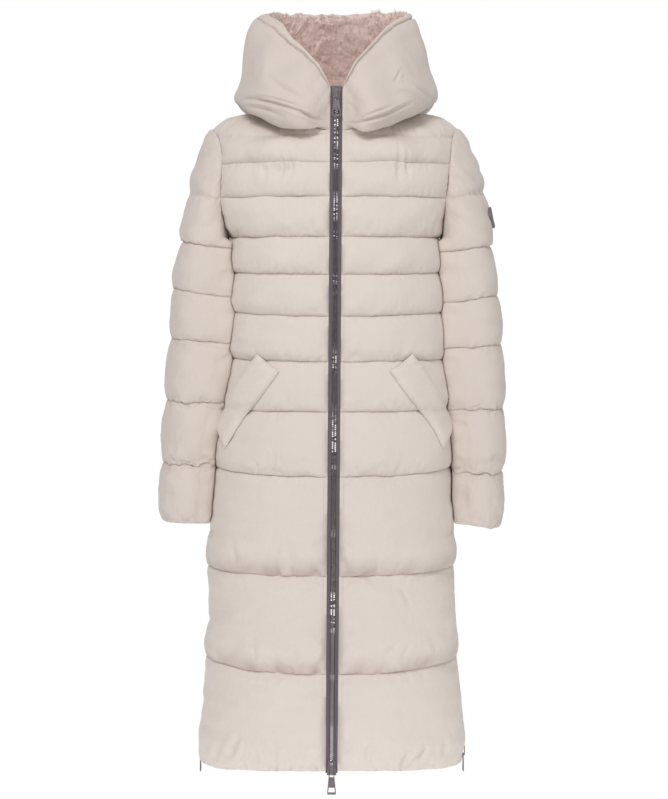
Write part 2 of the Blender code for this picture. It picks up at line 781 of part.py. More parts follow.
def make_front_zip():
    heights = zip_heights()
    z, y = skin_line(LEFT)
    order = np.argsort(z)
    centre = np.stack([zip_line(heights), np.interp(heights, z[order], y[order]), heights], axis=-1)
    ahead = np.array([0.0, -1.0, 0.0])
    for side in (RIGHT, LEFT):
        ends = sorted((side * (CHAIN_HALF + SEAM_GAP), side * ZIP_HALF))
        mesh = strip_mesh(centre, ahead, *ends, TAPE_SINK, TAPE_THICK)
        add_object("zip_tape_" + side_name(side), *mesh, tape_cloth())
    top = TOP_SLIDER["low"] - SEAM_GAP
    bottom = BOTTOM_SLIDER["high"] + SEAM_GAP
    chain = centre[(heights > bottom) & (heights < top)]
    ends = []
    for height in (bottom, top):
        ends.append([np.interp(height, heights, centre[:, k]) for k in range(3)])
    chain = np.concatenate([ends[:1], chain, ends[1:]])
    mesh = strip_mesh(chain, ahead, -CHAIN_HALF, CHAIN_HALF, TAPE_SINK - CHAIN_PROUD, CHAIN_THICK)
    add_object("zip_chain", *mesh, dark_metal())
    for name, slider in (("top", TOP_SLIDER), ("bottom", BOTTOM_SLIDER)):
        make_slider("zip", name, slider, heights, centre, ahead)


def vent_line(side):
    """Points of the side's skin along the vent zip, from the hem up to its top."""
    grid, lift, normals = front_parts(side)
    skin = (grid + normals * lift[..., None])[:, -1]
    skin = skin[skin[:, 2] < VENT_OPEN + 1]
    skin[:, 1] = 0
    return skin


def make_vent_zip(side):
    name = side_name(side)
    skin = vent_line(side)
    out = np.array([float(side), 0.0, 0.0])
    for end, sign in (("front", -1), ("back", 1)):
        turn = sign * side
        reach = sorted((turn * (CHAIN_HALF + SEAM_GAP), turn * ZIP_HALF))
        mesh = strip_mesh(skin, out, *reach, TAPE_SINK, TAPE_THICK)
        add_object(f"vent_tape_{end}_{name}", *mesh, tape_cloth())
    heights = skin[:, 2]
    bottom = VENT_SLIDER["high"] + SEAM_GAP
    first = [np.interp(bottom, heights, skin[:, 0]), 0.0, bottom]
    chain = np.concatenate([[first], skin[heights > bottom]])
    mesh = strip_mesh(chain, out, -CHAIN_HALF, CHAIN_HALF, TAPE_SINK - CHAIN_PROUD, CHAIN_THICK)
    add_object("vent_chain_" + name, *mesh, dark_metal())
    make_slider("vent", name, VENT_SLIDER, heights, skin, out)


def make_slider(kind, name, slider, heights, centre, out):
    """A slider seated on its tapes, its fixed bail, and the tab that hangs in the bail."""
    across = np.cross((0.0, 0.0, 1.0), out)
    low, high = slider["low"], slider["high"]
    levels = np.linspace(low, high, 4)
    middle = np.stack([np.interp(levels, heights, centre[:, k]) for k in range(3)], axis=-1)
    middle[:, 2] = levels
    face = max(np.dot(point, out) for point in middle) - TAPE_SINK + SEAM_GAP
    base = middle.mean(axis=0)
    base = base - out * np.dot(base, out)
    widths = np.linspace(slider["low_half"], slider["high_half"], 4)
    profile = []
    for level, half in zip(levels, widths):
        ring = [
            (-half, face), (half, face), (half, face + SLIDER_PLATE), (-half, face + SLIDER_PLATE)
        ]
        profile.append([base + across * a + out * b + (0, 0, level - base[2]) for a, b in ring])
    body = prism(profile)
    core_levels = (low + 0.4, high - 0.4)
    core = []
    for level in core_levels:
        ring = [
            (-SLIDER_CORE, face - 2.6), (SLIDER_CORE, face - 2.6), (SLIDER_CORE, face + 0.5),
            (-SLIDER_CORE, face + 0.5),
        ]
        core.append([base + across * a + out * b + (0, 0, level - base[2]) for a, b in ring])
    pivot_out = face + SLIDER_PLATE + PULL_STANDOFF
    pivot_z = low + BAIL_OUTER + 0.4
    bail = bail_profile(pivot_out, pivot_z, high - 2.0, face + 0.6)
    side_faces = []
    for a in (-BAIL_HALF, BAIL_HALF):
        side_faces.append([base + across * a + out * b + (0, 0, z - base[2]) for b, z in bail])
    obj = add_object(f"{kind}_slider_{name}", *body, dark_metal())
    for part, mesh in (("core", prism(core)), ("bail", prism(side_faces))):
        helper = add_object(f"{kind}_{part}_{name}", *mesh, dark_metal())
        helper.hide_render = True
        helper.display_type = "WIRE"
        union = obj.modifiers.new(part, "BOOLEAN")
        union.operation = "UNION"
        union.object = helper
    pivot = base + out * pivot_out + (0, 0, pivot_z - base[2])
    make_pull(f"{kind}_pull_{name}", pivot, out, across, slider["pull"])


def bail_profile(pivot_out, pivot_z, top, root):
    """Outline of the bail seen from the side: a long loop, round at the tab's end, with its slot."""
    steps = np.linspace(0, math.pi / 2, 5)
    outer = []
    for turn in steps[::-1]:
        outer.append((pivot_out + BAIL_OUTER * math.cos(turn), pivot_z - BAIL_OUTER * math.sin(turn)))
    outer.append((pivot_out + BAIL_OUTER, top - 3.0))
    outer.append((pivot_out + BAIL_OUTER - 2.2, top))
    outer.append((root, top))
    slot = [(root, top - 3.2), (pivot_out + BAIL_INNER, top - 4.4)]
    for turn in steps:
        slot.append((pivot_out + BAIL_INNER * math.cos(turn), pivot_z - BAIL_INNER * math.sin(turn)))
    slot.append((root, pivot_z - BAIL_INNER))
    start = [(root, pivot_z - BAIL_OUTER)]
    return start + outer + slot


def prism(rings):
    """Vertices and faces of a solid through a row of equal rings, with its ends closed."""
    count = len(rings[0])
    verts = np.array(rings).reshape(-1, 3)
    faces = []
    for r in range(len(rings) - 1):
        for k in range(count):
            n = (k + 1) % count
            faces.append((r * count + k, r * count + n, (r + 1) * count + n, (r + 1) * count + k))
    faces.append(tuple(reversed(range(count))))
    faces.append(tuple((len(rings) - 1) * count + k for k in range(count)))
    return verts, faces


PULL_STATIONS = table(
    "down half inner",
    [
        (-0.9, 4.2, 3.0),
        (0.9, 4.25, 3.0),
        (6.0, 4.6, 3.0),
        (20.5, 6.2, 4.4),
        (27.5, 7.0, 5.2),
        (30.5, 6.6, 4.6),
    ],
)
PULL_WINDOWS = (1, 3)


def make_pull(name, pivot, out, across, length):
    """A flat tab with an eye for the bail and a window near its end, hanging from its pivot."""
    empty = bpy.data.objects.new(name + "_pivot", None)
    empty.location = Vector(pivot * MM)
    bpy.context.scene.collection.objects.link(empty)
    stretch = length / PULL_STATIONS["down"][-1]
    downs = PULL_STATIONS["down"] * np.where(PULL_STATIONS["down"] > 6.1, stretch, 1.0)
    columns = np.stack(
        [-PULL_STATIONS["half"], -PULL_STATIONS["inner"], PULL_STATIONS["inner"], PULL_STATIONS["half"]]
    )
    verts = []
    for depth in (-PULL_THICK / 2, PULL_THICK / 2):
        for row, down in enumerate(downs):
            for column in range(4):
                verts.append(pivot + across * columns[column, row] + out * depth - np.array([0, 0, down]))
    half = len(verts) // 2
    cells = []
    for row in range(len(downs) - 1):
        for column in range(3):
            if column == 1 and row in PULL_WINDOWS:
                continue
            a = row * 4 + column
            cells.append((a, a + 1, a + 5, a + 4))
    faces = list(cells) + [tuple(half + v for v in reversed(cell)) for cell in cells]
    edges = [(cell[k], cell[(k + 1) % 4]) for cell in cells for k in range(4)]
    known = set(edges)
    for a, b in edges:
        if (b, a) not in known:
            faces.append((b, a, half + a, half + b))
    add_object(name, verts, faces, dark_metal(), parent=empty, smooth_angle=30)


# ---------------------------------------------------------------- pieces laid on the panels


def tree_of(name):
    """A search tree of a panel's faces, in millimetres."""
    mesh = bpy.data.objects[name].data
    mesh.calc_loop_triangles()
    verts = [v.co / MM for v in mesh.vertices]
    return BVHTree.FromPolygons(verts, [tuple(t.vertices) for t in mesh.loop_triangles])


def clearance(tree, point, normal):
    """How far a point lies in front of a panel along a direction."""
    hit = tree.ray_cast(Vector(point + normal * 20), Vector(-normal), 60.0)
    return 20.0 if hit[0] is None else hit[3] - 20.0


def least_clearance(tree, points, normals):
    """The least clearance over the triangles of a grid, negative where the panel comes through it."""
    least = 1e9
    steps = 6
    for r in range(points.shape[0] - 1):
        for c in range(points.shape[1] - 1):
            a, b, d, e = points[r, c], points[r, c + 1], points[r + 1, c + 1], points[r + 1, c]
            for corner in (b, e):
                for i in range(steps + 1):
                    for j in range(steps + 1 - i):
                        s, t = i / steps, j / steps
                        spot = a * (1 - s - t) + d * s + corner * t
                        least = min(least, clearance(tree, spot, normals[r, c]))
    return least


def lay_on(name, tree, points, normals, thick, material):
    """A flat piece made from a panel's points, moved out until nothing of the panel shows through."""
    base = points
    for _ in range(4):
        least = least_clearance(tree, base, normals)
        if least > SEAM_GAP:
            break
        base = base + normals * (SEAM_GAP + 0.1 - least)
    mesh = wall_mesh(base + normals * thick, base)
    return add_object(name, *mesh, material)


def arc_point(skin, level, arc):
    """The point of a panel's skin at a height and at a distance round from its zip edge."""
    column_z = skin[:, :, 2]
    points = []
    for c in range(skin.shape[1]):
        order = np.argsort(column_z[:, c])
        points.append([np.interp(level, column_z[order, c], skin[order, c, k]) for k in range(3)])
    points = np.array(points)
    steps = np.linalg.norm(np.diff(points, axis=0), axis=1)
    along = np.concatenate([[0], np.cumsum(steps)])
    return np.array([np.interp(arc, along, points[:, k]) for k in range(3)])


def make_welt(side):
    grid, lift, normals = front_parts(side)
    skin = grid + normals * lift[..., None]
    rows = np.linspace(0, 1, 8)
    cols = np.linspace(0, 1, 4)
    points = []
    for s in rows:
        line = []
        for t in cols:
            top = np.array(WELT_APEX) * (1 - t) + np.array(WELT_CORNER) * t
            bottom = np.array(WELT_OUTER) * (1 - t) + np.array(WELT_FOOT) * t
            arc, level = top * (1 - s) + bottom * s
            line.append(arc_point(skin, level, arc))
        points.append(line)
    points = np.array(points)
    lie = outward(cross_normals(points), points)
    name = side_name(side)
    lay_on("pocket_welt_" + name, tree_of("front_" + name), points, lie, WELT_THICK, shell_cloth())


def make_badge():
    facing = np.array(BADGE_FACING) / np.linalg.norm(BADGE_FACING)
    across = np.cross((0.0, 0.0, 1.0), facing)
    across /= np.linalg.norm(across)
    up = np.cross(facing, across)
    tree = tree_of("sleeve_left")
    points = []
    steps = np.linspace(-1, 1, 6)
    for row in steps:
        line = []
        for column in steps:
            x = column * math.sqrt(1 - row * row / 2)
            z = row * math.sqrt(1 - column * column / 2)
            spot = np.array(BADGE_PLACE) + (across * x + up * z) * BADGE_RADIUS
            line.append(spot - facing * clearance(tree, spot, facing))
        points.append(line)
    normals = np.broadcast_to(facing, (len(steps), len(steps), 3))
    lay_on("sleeve_badge", tree, np.array(points), normals, BADGE_THICK, badge_rubber())


def make_label():
    """A small folded tab that stands out of the side seam beside the sleeve."""
    tree = tree_of("front_left")
    out = np.array([1.0, -0.25, 0.0]) / math.hypot(1.0, 0.25)
    across = np.cross((0.0, 0.0, 1.0), out)
    root = np.array(LABEL_PLACE)
    lengths = np.linspace(-LABEL_HEIGHT / 2, LABEL_HEIGHT / 2, 5)
    rings = []
    for along in lengths:
        for_root = root + (0, 0, along)
        for_root = for_root - out * (clearance(tree, for_root, out) - SEAM_GAP)
        ring = [
            for_root + across * a + out * b
            for a, b in ((-0.6, 0), (0.6, 0), (0.6, LABEL_REACH), (-0.6, LABEL_REACH))
        ]
        rings.append(ring)
    add_object("side_label", *prism(rings), label_cloth())


# ---------------------------------------------------------------- build

clear_scene()
make_body()
make_sleeves()
make_hood()
make_front_zip()
for each_side in (RIGHT, LEFT):
    make_vent_zip(each_side)
    make_welt(each_side)
make_badge()
make_label()
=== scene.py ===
import json
import math

import bpy
import numpy as np
from mathutils import Matrix, Vector
from mathutils.bvhtree import BVHTree

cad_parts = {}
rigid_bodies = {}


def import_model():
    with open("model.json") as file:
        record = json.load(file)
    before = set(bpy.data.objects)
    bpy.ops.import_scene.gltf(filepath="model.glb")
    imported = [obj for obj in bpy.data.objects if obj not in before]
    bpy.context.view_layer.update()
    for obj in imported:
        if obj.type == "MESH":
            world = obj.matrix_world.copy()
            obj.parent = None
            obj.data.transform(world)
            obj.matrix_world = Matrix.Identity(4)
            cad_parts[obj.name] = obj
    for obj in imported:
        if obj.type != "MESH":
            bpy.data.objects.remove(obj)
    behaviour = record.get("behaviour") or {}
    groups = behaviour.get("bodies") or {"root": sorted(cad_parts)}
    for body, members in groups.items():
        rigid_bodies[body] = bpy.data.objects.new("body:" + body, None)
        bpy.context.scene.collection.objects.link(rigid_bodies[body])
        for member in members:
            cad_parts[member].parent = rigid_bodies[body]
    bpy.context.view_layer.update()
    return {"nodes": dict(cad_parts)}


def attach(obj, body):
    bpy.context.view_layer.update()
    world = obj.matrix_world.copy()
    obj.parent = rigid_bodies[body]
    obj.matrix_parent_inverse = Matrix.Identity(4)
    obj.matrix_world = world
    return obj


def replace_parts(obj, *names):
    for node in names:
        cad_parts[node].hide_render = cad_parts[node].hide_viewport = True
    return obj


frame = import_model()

# ---------------------------------------------------------------- fronts and back
# The body is three quilted panels, two fronts that part at the zip and one back. Each is a matt woven
# cloth over loose wadding, sewn through along level seams, so that it stands out in soft baffles and
# draws up into small puckers at every seam. Tables are in millimetres.
MM = 0.001
RIGHT = -1
LEFT = 1
SEAM_GAP = 0.3
SEAM_WALL = 3.0
INNER_PUFF = 0.35
SECTION_POWER = 2.4
SEAM_LEVELS = (-1031.0, -881.0, -727.0, -571.0, -469.0, -390.0, -318.0, -252.0, -192.0, -128.0, -73.0)
YOKE_LEVEL = -28.0
SAG = 1.45
ZIP_HALF = 9.5
VENT_TOP = -675.0
VENT_OPEN = -682.0
NECK_HALF = 82.0
NECK_FRONT = -116.0
NECK_BACK = 74.0
NECK_LOW = -23.0
NECK_SIDE_HEIGHT = 12.0
NECK_BACK_HEIGHT = 20.0
SHOULDER_TIP = {RIGHT: (200.0, -13.0), LEFT: (202.5, -11.5)}
ARMHOLE_TURN = 0.42
ARMHOLE_RISE = (-200.0, -160.0)
ROW_STEP = 3.8
SEAM_CROWD = 0.5
TOP_ROWS = 30
FRONT_COLUMNS = 121
BACK_COLUMNS = 101
NECK_U = 0.375
# How the chest leaves the highest level seam and rounds into the neck and shoulder seams.
TOP_LEAVE = 0.38
TOP_ARRIVE = 0.30
NECK_SLOPE = 0.5
SHOULDER_SLOPE = 0.30
TIP_SLOPE = 0.45
# The padding's fullness: more sag in the skirt, less beside the side seams, the armholes and the zip,
# and a soft mound where the chest pushes up under the hood.
SKIRT_SAG = 0.65
SIDE_PUFF = 0.20
SIDE_REACH = 100.0
ARM_REACH = 45.0
ZIP_PUFF = 0.05
ZIP_REACH = 22.0
LOW_YOKE_PUFF = 6.0
HIGH_YOKE_PUFF = 3.5
UNDER_HOOD = 11.0
UNDER_HOOD_PLACE = (82.0, -58.0)
UNDER_HOOD_REACH = (66.0, 34.0)


def table(names, rows):
    """A table with named columns."""
    return dict(zip(names.split(), np.array(rows, float).T))


BODY = table(
    "z right left front back puff",
    [
        (-1031, 217, 209, 150, 148, 8),
        (-960, 211, 206, 147, 146, 15),
        (-881, 208, 200, 143, 142, 16),
        (-820, 200, 195, 142, 140, 15),
        (-727, 206, 195, 141, 139, 15),
        (-660, 198, 191, 140, 137, 14),
        (-571, 195, 192, 139, 136, 12),
        (-469, 182, 190, 134, 131, 11),
        (-390, 171, 184, 130, 126, 10),
        (-318, 171, 183, 128, 123, 10),
        (-252, 169, 178, 127, 121, 9),
        (-192, 172, 174, 126, 119, 9),
        (-128, 183, 181, 123, 116, 8),
        (-73, 181, 187, 119, 111, 7),
    ],
)
ARMHOLE = table(
    "z right left front back",
    [
        (-192, 172, 174, 0, 0),
        (-183, 173, 175, 27, 27),
        (-171, 176, 176, 42, 42),
        (-150, 181, 179, 55, 55),
        (-128, 183, 181, 61, 61),
        (-100, 182, 184, 62, 62),
        (-73, 181, 187, 57, 57),
    ],
)
# How far the level seams rise towards the sides, and the shoulder seam above its own straight line.
SIDE_SHIFT = table(
    "z rise",
    [(-1031, -13), (-881, 10), (-727, 2), (-571, 6), (-469, 0), (-390, 2), (-318, 6), (-252, 3), (-192, 0)],
)
SHOULDER_ARCH = table(
    "along rise", [(0, 0), (0.2, 3), (0.36, 8), (0.56, 15), (0.75, 15), (0.9, 9), (1, 1)]
)


def smooth(xs, ys, q):
    """Values at q of a curve through the points that rises and falls only where they do."""
    xs = np.asarray(xs, float)
    ys = np.asarray(ys, float)
    step = np.diff(xs)
    slope = np.diff(ys) / step
    tangent = np.zeros_like(ys)
    tangent[0] = slope[0]
    tangent[-1] = slope[-1]
    same = slope[:-1] * slope[1:] > 0
    w1 = 2 * step[1:] + step[:-1]
    w2 = step[1:] + 2 * step[:-1]
    safe = np.where(same, slope[:-1] * slope[1:], 1.0)
    mean = (w1 + w2) * safe / (w1 * slope[1:] + w2 * slope[:-1] + np.where(same, 0.0, 1e9))
    tangent[1:-1] = np.where(same, mean, 0.0)
    q = np.clip(np.asarray(q, float), xs[0], xs[-1])
    k = np.clip(np.searchsorted(xs, q, side="right") - 1, 0, len(xs) - 2)
    h = step[k]
    t = (q - xs[k]) / h
    return (
        ys[k] * (1 + 2 * t) * (1 - t) ** 2
        + tangent[k] * h * t * (1 - t) ** 2
        + ys[k + 1] * t * t * (3 - 2 * t)
        + tangent[k + 1] * h * t * t * (t - 1)
    )


def ease(low, high, value):
    """Rises smoothly from 0 at one value to 1 at another."""
    t = np.clip((np.asarray(value, float) - low) / (high - low), 0.0, 1.0)
    return t * t * (3 - 2 * t)


def beside(distance, width):
    """1 along a line, falling away softly within a width of it."""
    return np.exp(-((distance / width) ** 2))


def dome(distance, reach):
    """Rises steeply from 0 at a seam and levels off at 1 a reach away."""
    t = 1 - np.clip(np.asarray(distance, float) / reach, 0.0, 1.0)
    return np.sqrt(1 - t * t)


def swell(down, sag=SAG):
    """Cross-section of one baffle: 0 at its seams, fullest a little below its middle."""
    return np.sin(math.pi * np.clip(down, 0, 1) ** sag) ** 0.6


def side_name(side):
    """The word for a side in the names of pieces."""
    return "right" if side == RIGHT else "left"


def zip_line(z):
    """How far the zip stands towards the wearer's left at a height."""
    return smooth((-1045.0, -500.0, 60.0), (-4.0, 0.0, 4.0), z)


def front_edge(z, side):
    """How far from the middle a front's edge lies, just beside the zip tape."""
    return side * zip_line(z) + ZIP_HALF + SEAM_GAP


def edge_of_body(z, side):
    """x, front y and back y of the side seam, or of the armhole above the armpit."""
    name = side_name(side)
    in_arm = z > ARMHOLE["z"][0] + 0.01
    x_low = smooth(BODY["z"], BODY[name], z)
    x_arm = smooth(ARMHOLE["z"], ARMHOLE[name], z)
    gap = SEAM_GAP / 2 + (ZIP_HALF + SEAM_GAP / 2) * ease(VENT_TOP, VENT_OPEN, z)
    y_front = np.where(in_arm, -smooth(ARMHOLE["z"], ARMHOLE["front"], z), -gap)
    y_back = np.where(in_arm, smooth(ARMHOLE["z"], ARMHOLE["back"], z), gap)
    return np.where(in_arm, x_arm, x_low), y_front, y_back


def body_rows(z, u, side, facing):
    """Points of level sections from the middle (u 0) to the side (u 1), on the quilt seams' skin."""
    z, u = np.broadcast_arrays(z, u)
    x_edge, y_front, y_back = edge_of_body(z, side)
    last = math.pi / 2 * (1 - ARMHOLE_TURN * ease(*ARMHOLE_RISE, z))
    power = 2 / SECTION_POWER
    end = np.where(last > 1.57, 0.0, np.maximum(np.cos(last), 0) ** power)
    out = np.sin(u * last) ** power / np.sin(last) ** power
    ahead = np.maximum(np.cos(u * last), 0) ** power
    ahead = (ahead - end) / (1 - end)
    if facing == "front":
        start = front_edge(z, side)
        depth = smooth(BODY["z"], BODY["front"], z)
        y = y_front - (depth + y_front) * ahead
    else:
        start = np.zeros_like(z)
        depth = smooth(BODY["z"], BODY["back"], z)
        y = y_back + (depth - y_back) * ahead
    x = start + (x_edge - start) * out
    return np.stack([side * x, y, z], axis=-1)


def top_line(u, side, facing):
    """The neck seam as far as NECK_U, then the shoulder seam out to the shoulder tip."""
    turn = np.clip(u / NECK_U, 0, 1) * math.pi / 2
    along = np.clip((u - NECK_U) / (1 - NECK_U), 0, 1)
    if facing == "front":
        start = front_edge(np.full_like(u, NECK_LOW), side)
        y = NECK_FRONT * np.cos(turn)
        low = NECK_LOW
    else:
        start = np.zeros_like(u)
        y = NECK_BACK * np.cos(turn)
        low = NECK_BACK_HEIGHT
    tip_x, tip_z = SHOULDER_TIP[side]
    x = start + (NECK_HALF - start) * np.sin(turn) + (tip_x - NECK_HALF) * along
    z = low + (NECK_SIDE_HEIGHT - low) * np.sin(turn) ** 2 + (tip_z - NECK_SIDE_HEIGHT) * along
    z = z + smooth(SHOULDER_ARCH["along"], SHOULDER_ARCH["rise"], along)
    gap = -SEAM_GAP / 2 if facing == "front" else SEAM_GAP / 2
    y = np.where(np.abs(y) < abs(gap), gap, y)
    return np.stack([side * x, y, z], axis=-1)


def bezier(p0, p1, p2, p3, v):
    """Points of a curve that leaves p0 towards p1 and arrives at p3 from p2."""
    return (1 - v) ** 3 * p0 + 3 * v * (1 - v) ** 2 * p1 + 3 * v * v * (1 - v) * p2 + v**3 * p3


def unit(vectors):
    """The same directions at length 1."""
    return vectors / np.maximum(np.linalg.norm(vectors, axis=-1, keepdims=True), 1e-9)


def top_rows(v, u, side, facing):
    """The chest or shoulder-blade part, rounding from the highest level seam to the top line."""
    level = SEAM_LEVELS[-1]
    p0 = body_rows(level, u, side, facing)
    p3 = top_line(u, side, facing)
    rise = unit(p0 - body_rows(level - 12, u, side, facing))
    span = np.linalg.norm(p3 - p0, axis=-1, keepdims=True)
    slope = SHOULDER_SLOPE + NECK_SLOPE * (1 - ease(0, NECK_U, u))
    back_in = 1.0 if facing == "front" else -1.0
    sideways = side * TIP_SLOPE * ease(NECK_U, 1.0, u) ** 2
    arrive = np.stack([sideways, np.full_like(u, back_in), slope], axis=-1)
    steep = ease(0.0, NECK_U, u)[:, None]
    arrive = unit((p3 - p0) / span * (1 - steep) + arrive * steep)
    v = np.asarray(v, float)[:, None, None]
    return bezier(p0, p0 + rise * span * TOP_LEAVE, p3 - arrive * span * TOP_ARRIVE, p3, v)


def baffle_rows():
    """Heights of the rows and how far down each lies in its baffle, crowded towards the seams."""
    heights = []
    downs = []
    for low, high in zip(SEAM_LEVELS[:-1], SEAM_LEVELS[1:]):
        count = round((high - low) / ROW_STEP)
        t = np.arange(count) / count
        t = t - SEAM_CROWD * np.sin(2 * math.pi * t) / (2 * math.pi)
        heights.append(low + (high - low) * t)
        downs.append(1 - t)
    heights.append([SEAM_LEVELS[-1]])
    downs.append([0.0])
    return np.concatenate(heights), np.concatenate(downs)


def half_panel(columns, side, facing):
    """Grid of half a panel at its quilt seams' skin, the padding's lift, and each point's own level."""
    u = np.linspace(0, 1, columns)
    heights, downs = baffle_rows()
    grid = body_rows(heights[:, None], u[None, :], side, facing)
    shift = smooth(SIDE_SHIFT["z"], SIDE_SHIFT["rise"], heights)[:, None]
    grid[..., 2] += shift * np.sin(u * math.pi / 2) ** 2
    level_height = heights[:, None] * np.ones(columns)
    sag = SAG + SKIRT_SAG * ease(-560, -600, heights)
    lift = (smooth(BODY["z"], BODY["puff"], heights) * swell(downs, sag))[:, None] * np.ones(columns)
    top = top_rows(np.linspace(0, 1, TOP_ROWS + 1)[1:], u, side, facing)
    level = SEAM_LEVELS[-1]
    low_part = (YOKE_LEVEL - top[..., 2]) / (YOKE_LEVEL - level)
    crown = np.maximum(top[-1:, :, 2], YOKE_LEVEL + 5)
    high_part = (crown - top[..., 2]) / (crown - YOKE_LEVEL)
    on_low = top[..., 2] < YOKE_LEVEL
    top_lift = np.where(on_low, LOW_YOKE_PUFF * swell(low_part), HIGH_YOKE_PUFF * swell(high_part))
    grid = np.concatenate([grid, top])
    lift = np.concatenate([lift, top_lift])
    height = np.concatenate([level_height, top[..., 2]])
    to_neck = np.hypot(np.abs(grid[..., 0]) / NECK_HALF, grid[..., 1] / NECK_FRONT)
    under_hood = (grid[..., 2] > level) & (to_neck < 1.5)
    lift = np.where(under_hood, lift * ease(1.1, 1.5, to_neck), lift)
    to_side = np.linalg.norm(grid - grid[:, -1:], axis=-1)
    armpit = ARMHOLE["z"][0]
    in_arm = ease(armpit - 16, armpit - 1, grid[:, -1:, 2])
    at_side = SIDE_PUFF + (1 - SIDE_PUFF) * ease(0, SIDE_REACH, to_side)
    lift = lift * (at_side * (1 - in_arm) + dome(to_side, ARM_REACH) * in_arm)
    if facing == "front":
        aside = (np.abs(grid[..., 0]) - UNDER_HOOD_PLACE[0]) / UNDER_HOOD_REACH[0]
        below = (grid[..., 2] - UNDER_HOOD_PLACE[1]) / UNDER_HOOD_REACH[1]
        under = np.hypot(aside, below)
        lift = lift + UNDER_HOOD * ease(1.0, 0.2, under) * ease(-20, -42, grid[..., 2])
        to_zip = np.linalg.norm(grid - grid[:, :1], axis=-1)
        lift = lift * (ZIP_PUFF + (1 - ZIP_PUFF) * dome(to_zip, ZIP_REACH))
    return grid, lift, height


def cross_normals(grid, around=False):
    """Unit normals of a grid of points, along rows and columns."""
    if around:
        across = np.roll(grid, -1, axis=1) - np.roll(grid, 1, axis=1)
    else:
        across = np.gradient(grid, axis=1)
    return unit(np.cross(across, np.gradient(grid, axis=0)))


def panel_normals(grid):
    """Outward normals, with the side and shoulder seams sharing theirs with the neighbour panel."""
    normals = cross_normals(grid)
    normals = normals * np.sign(np.sum(normals[..., :2] * grid[..., :2]))
    shoulder = np.abs(grid[-1, :, 1]) < SEAM_GAP
    normals[-1, shoulder, 1] = 0
    below_arm = grid[:, :, 2] < ARMHOLE["z"][0] + 0.01
    for column in (0, -1):
        at_side = below_arm[:, column] & (np.abs(grid[:, column, 0]) > NECK_HALF)
        normals[at_side, column, 1] = 0
    return unit(normals)


def lengths(grid, axis):
    """Distance along a grid's rows (axis 1) or up its columns (axis 0)."""
    steps = np.linalg.norm(np.diff(grid, axis=axis), axis=-1)
    pad = [(1, 0), (0, 0)] if axis == 0 else [(0, 0), (1, 0)]
    return np.cumsum(np.pad(steps, pad), axis=axis)


def puckers(along, away, seed, spacing=9.0, reach=24.0, depth=1.1, slant=0.25):
    """Small troughs that run off both sides of a seam: along is measured on it and away from it."""
    rng = np.random.default_rng(seed)
    near = np.where(np.abs(away).min(axis=1) < reach * 1.6)[0]
    sunk = np.zeros_like(along)
    if len(near) == 0:
        return sunk
    rows = slice(near[0], near[-1] + 1)
    line = along[rows]
    off = away[rows]
    total = np.zeros_like(line)
    spot = line.min()
    patch = rng.uniform(0, 6.28, 3)
    while spot < line.max():
        spot += spacing * rng.uniform(0.35, 1.65)
        busy = 0.62 + 0.38 * math.sin(spot / 31 + patch[0]) * math.sin(spot / 83 + patch[1])
        side = rng.choice((-1, 1))
        far = reach * rng.uniform(0.35, 1.5) * busy
        wide = rng.uniform(1.9, 4.6)
        deep = depth * rng.uniform(0.25, 1.6) * busy
        lean = slant * rng.normal()
        d = off * side
        inside = (d > -3) & (d < far)
        t = np.clip(d / far, 0, 1)
        shape = beside(line - spot - lean * d, wide * (1 + 0.9 * t)) * (1 - t) ** 1.3
        total += np.where(inside, deep * shape, 0.0) * np.where(d < 0, beside(d, 2.0), 1.0)
    sunk[rows] = total
    return sunk


def fold(a, b, start, middle, end, width, depth, lip=0.3):
    """Depth of a soft trough through three places, tapering to its ends, with a low lip each side."""
    start, middle, end = (np.array(p, float) for p in (start, middle, end))
    control = 2 * middle - (start + end) / 2
    t = np.linspace(0, 1, 13)[:, None]
    line = (1 - t) ** 2 * start + 2 * t * (1 - t) * control + t * t * end
    best = np.full(a.shape, 1e9)
    place = np.zeros(a.shape)
    for k in range(len(line) - 1):
        ax, ay = line[k]
        dx, dy = line[k + 1] - line[k]
        s = np.clip(((a - ax) * dx + (b - ay) * dy) / (dx * dx + dy * dy + 1e-9), 0, 1)
        d = np.hypot(a - ax - s * dx, b - ay - s * dy)
        closer = d < best
        best = np.where(closer, d, best)
        place = np.where(closer, (k + s) / (len(line) - 1), place)
    taper = np.sin(math.pi * np.clip(place * 0.94 + 0.03, 0, 1)) ** 0.7
    trough = beside(best, width) - lip * beside(best - 2.0 * width, width)
    return depth * taper * trough


def lumps(a, b, seed, size, height):
    """Slow uneven waves over a surface."""
    rng = np.random.default_rng(seed)
    total = np.zeros_like(a)
    for _ in range(14):
        turn = rng.uniform(0, math.pi)
        wave = size * rng.uniform(0.6, 1.7)
        phase = rng.uniform(0, 2 * math.pi)
        total += np.sin((a * math.cos(turn) + b * math.sin(turn)) * 2 * math.pi / wave + phase)
    return total * height / 3.7


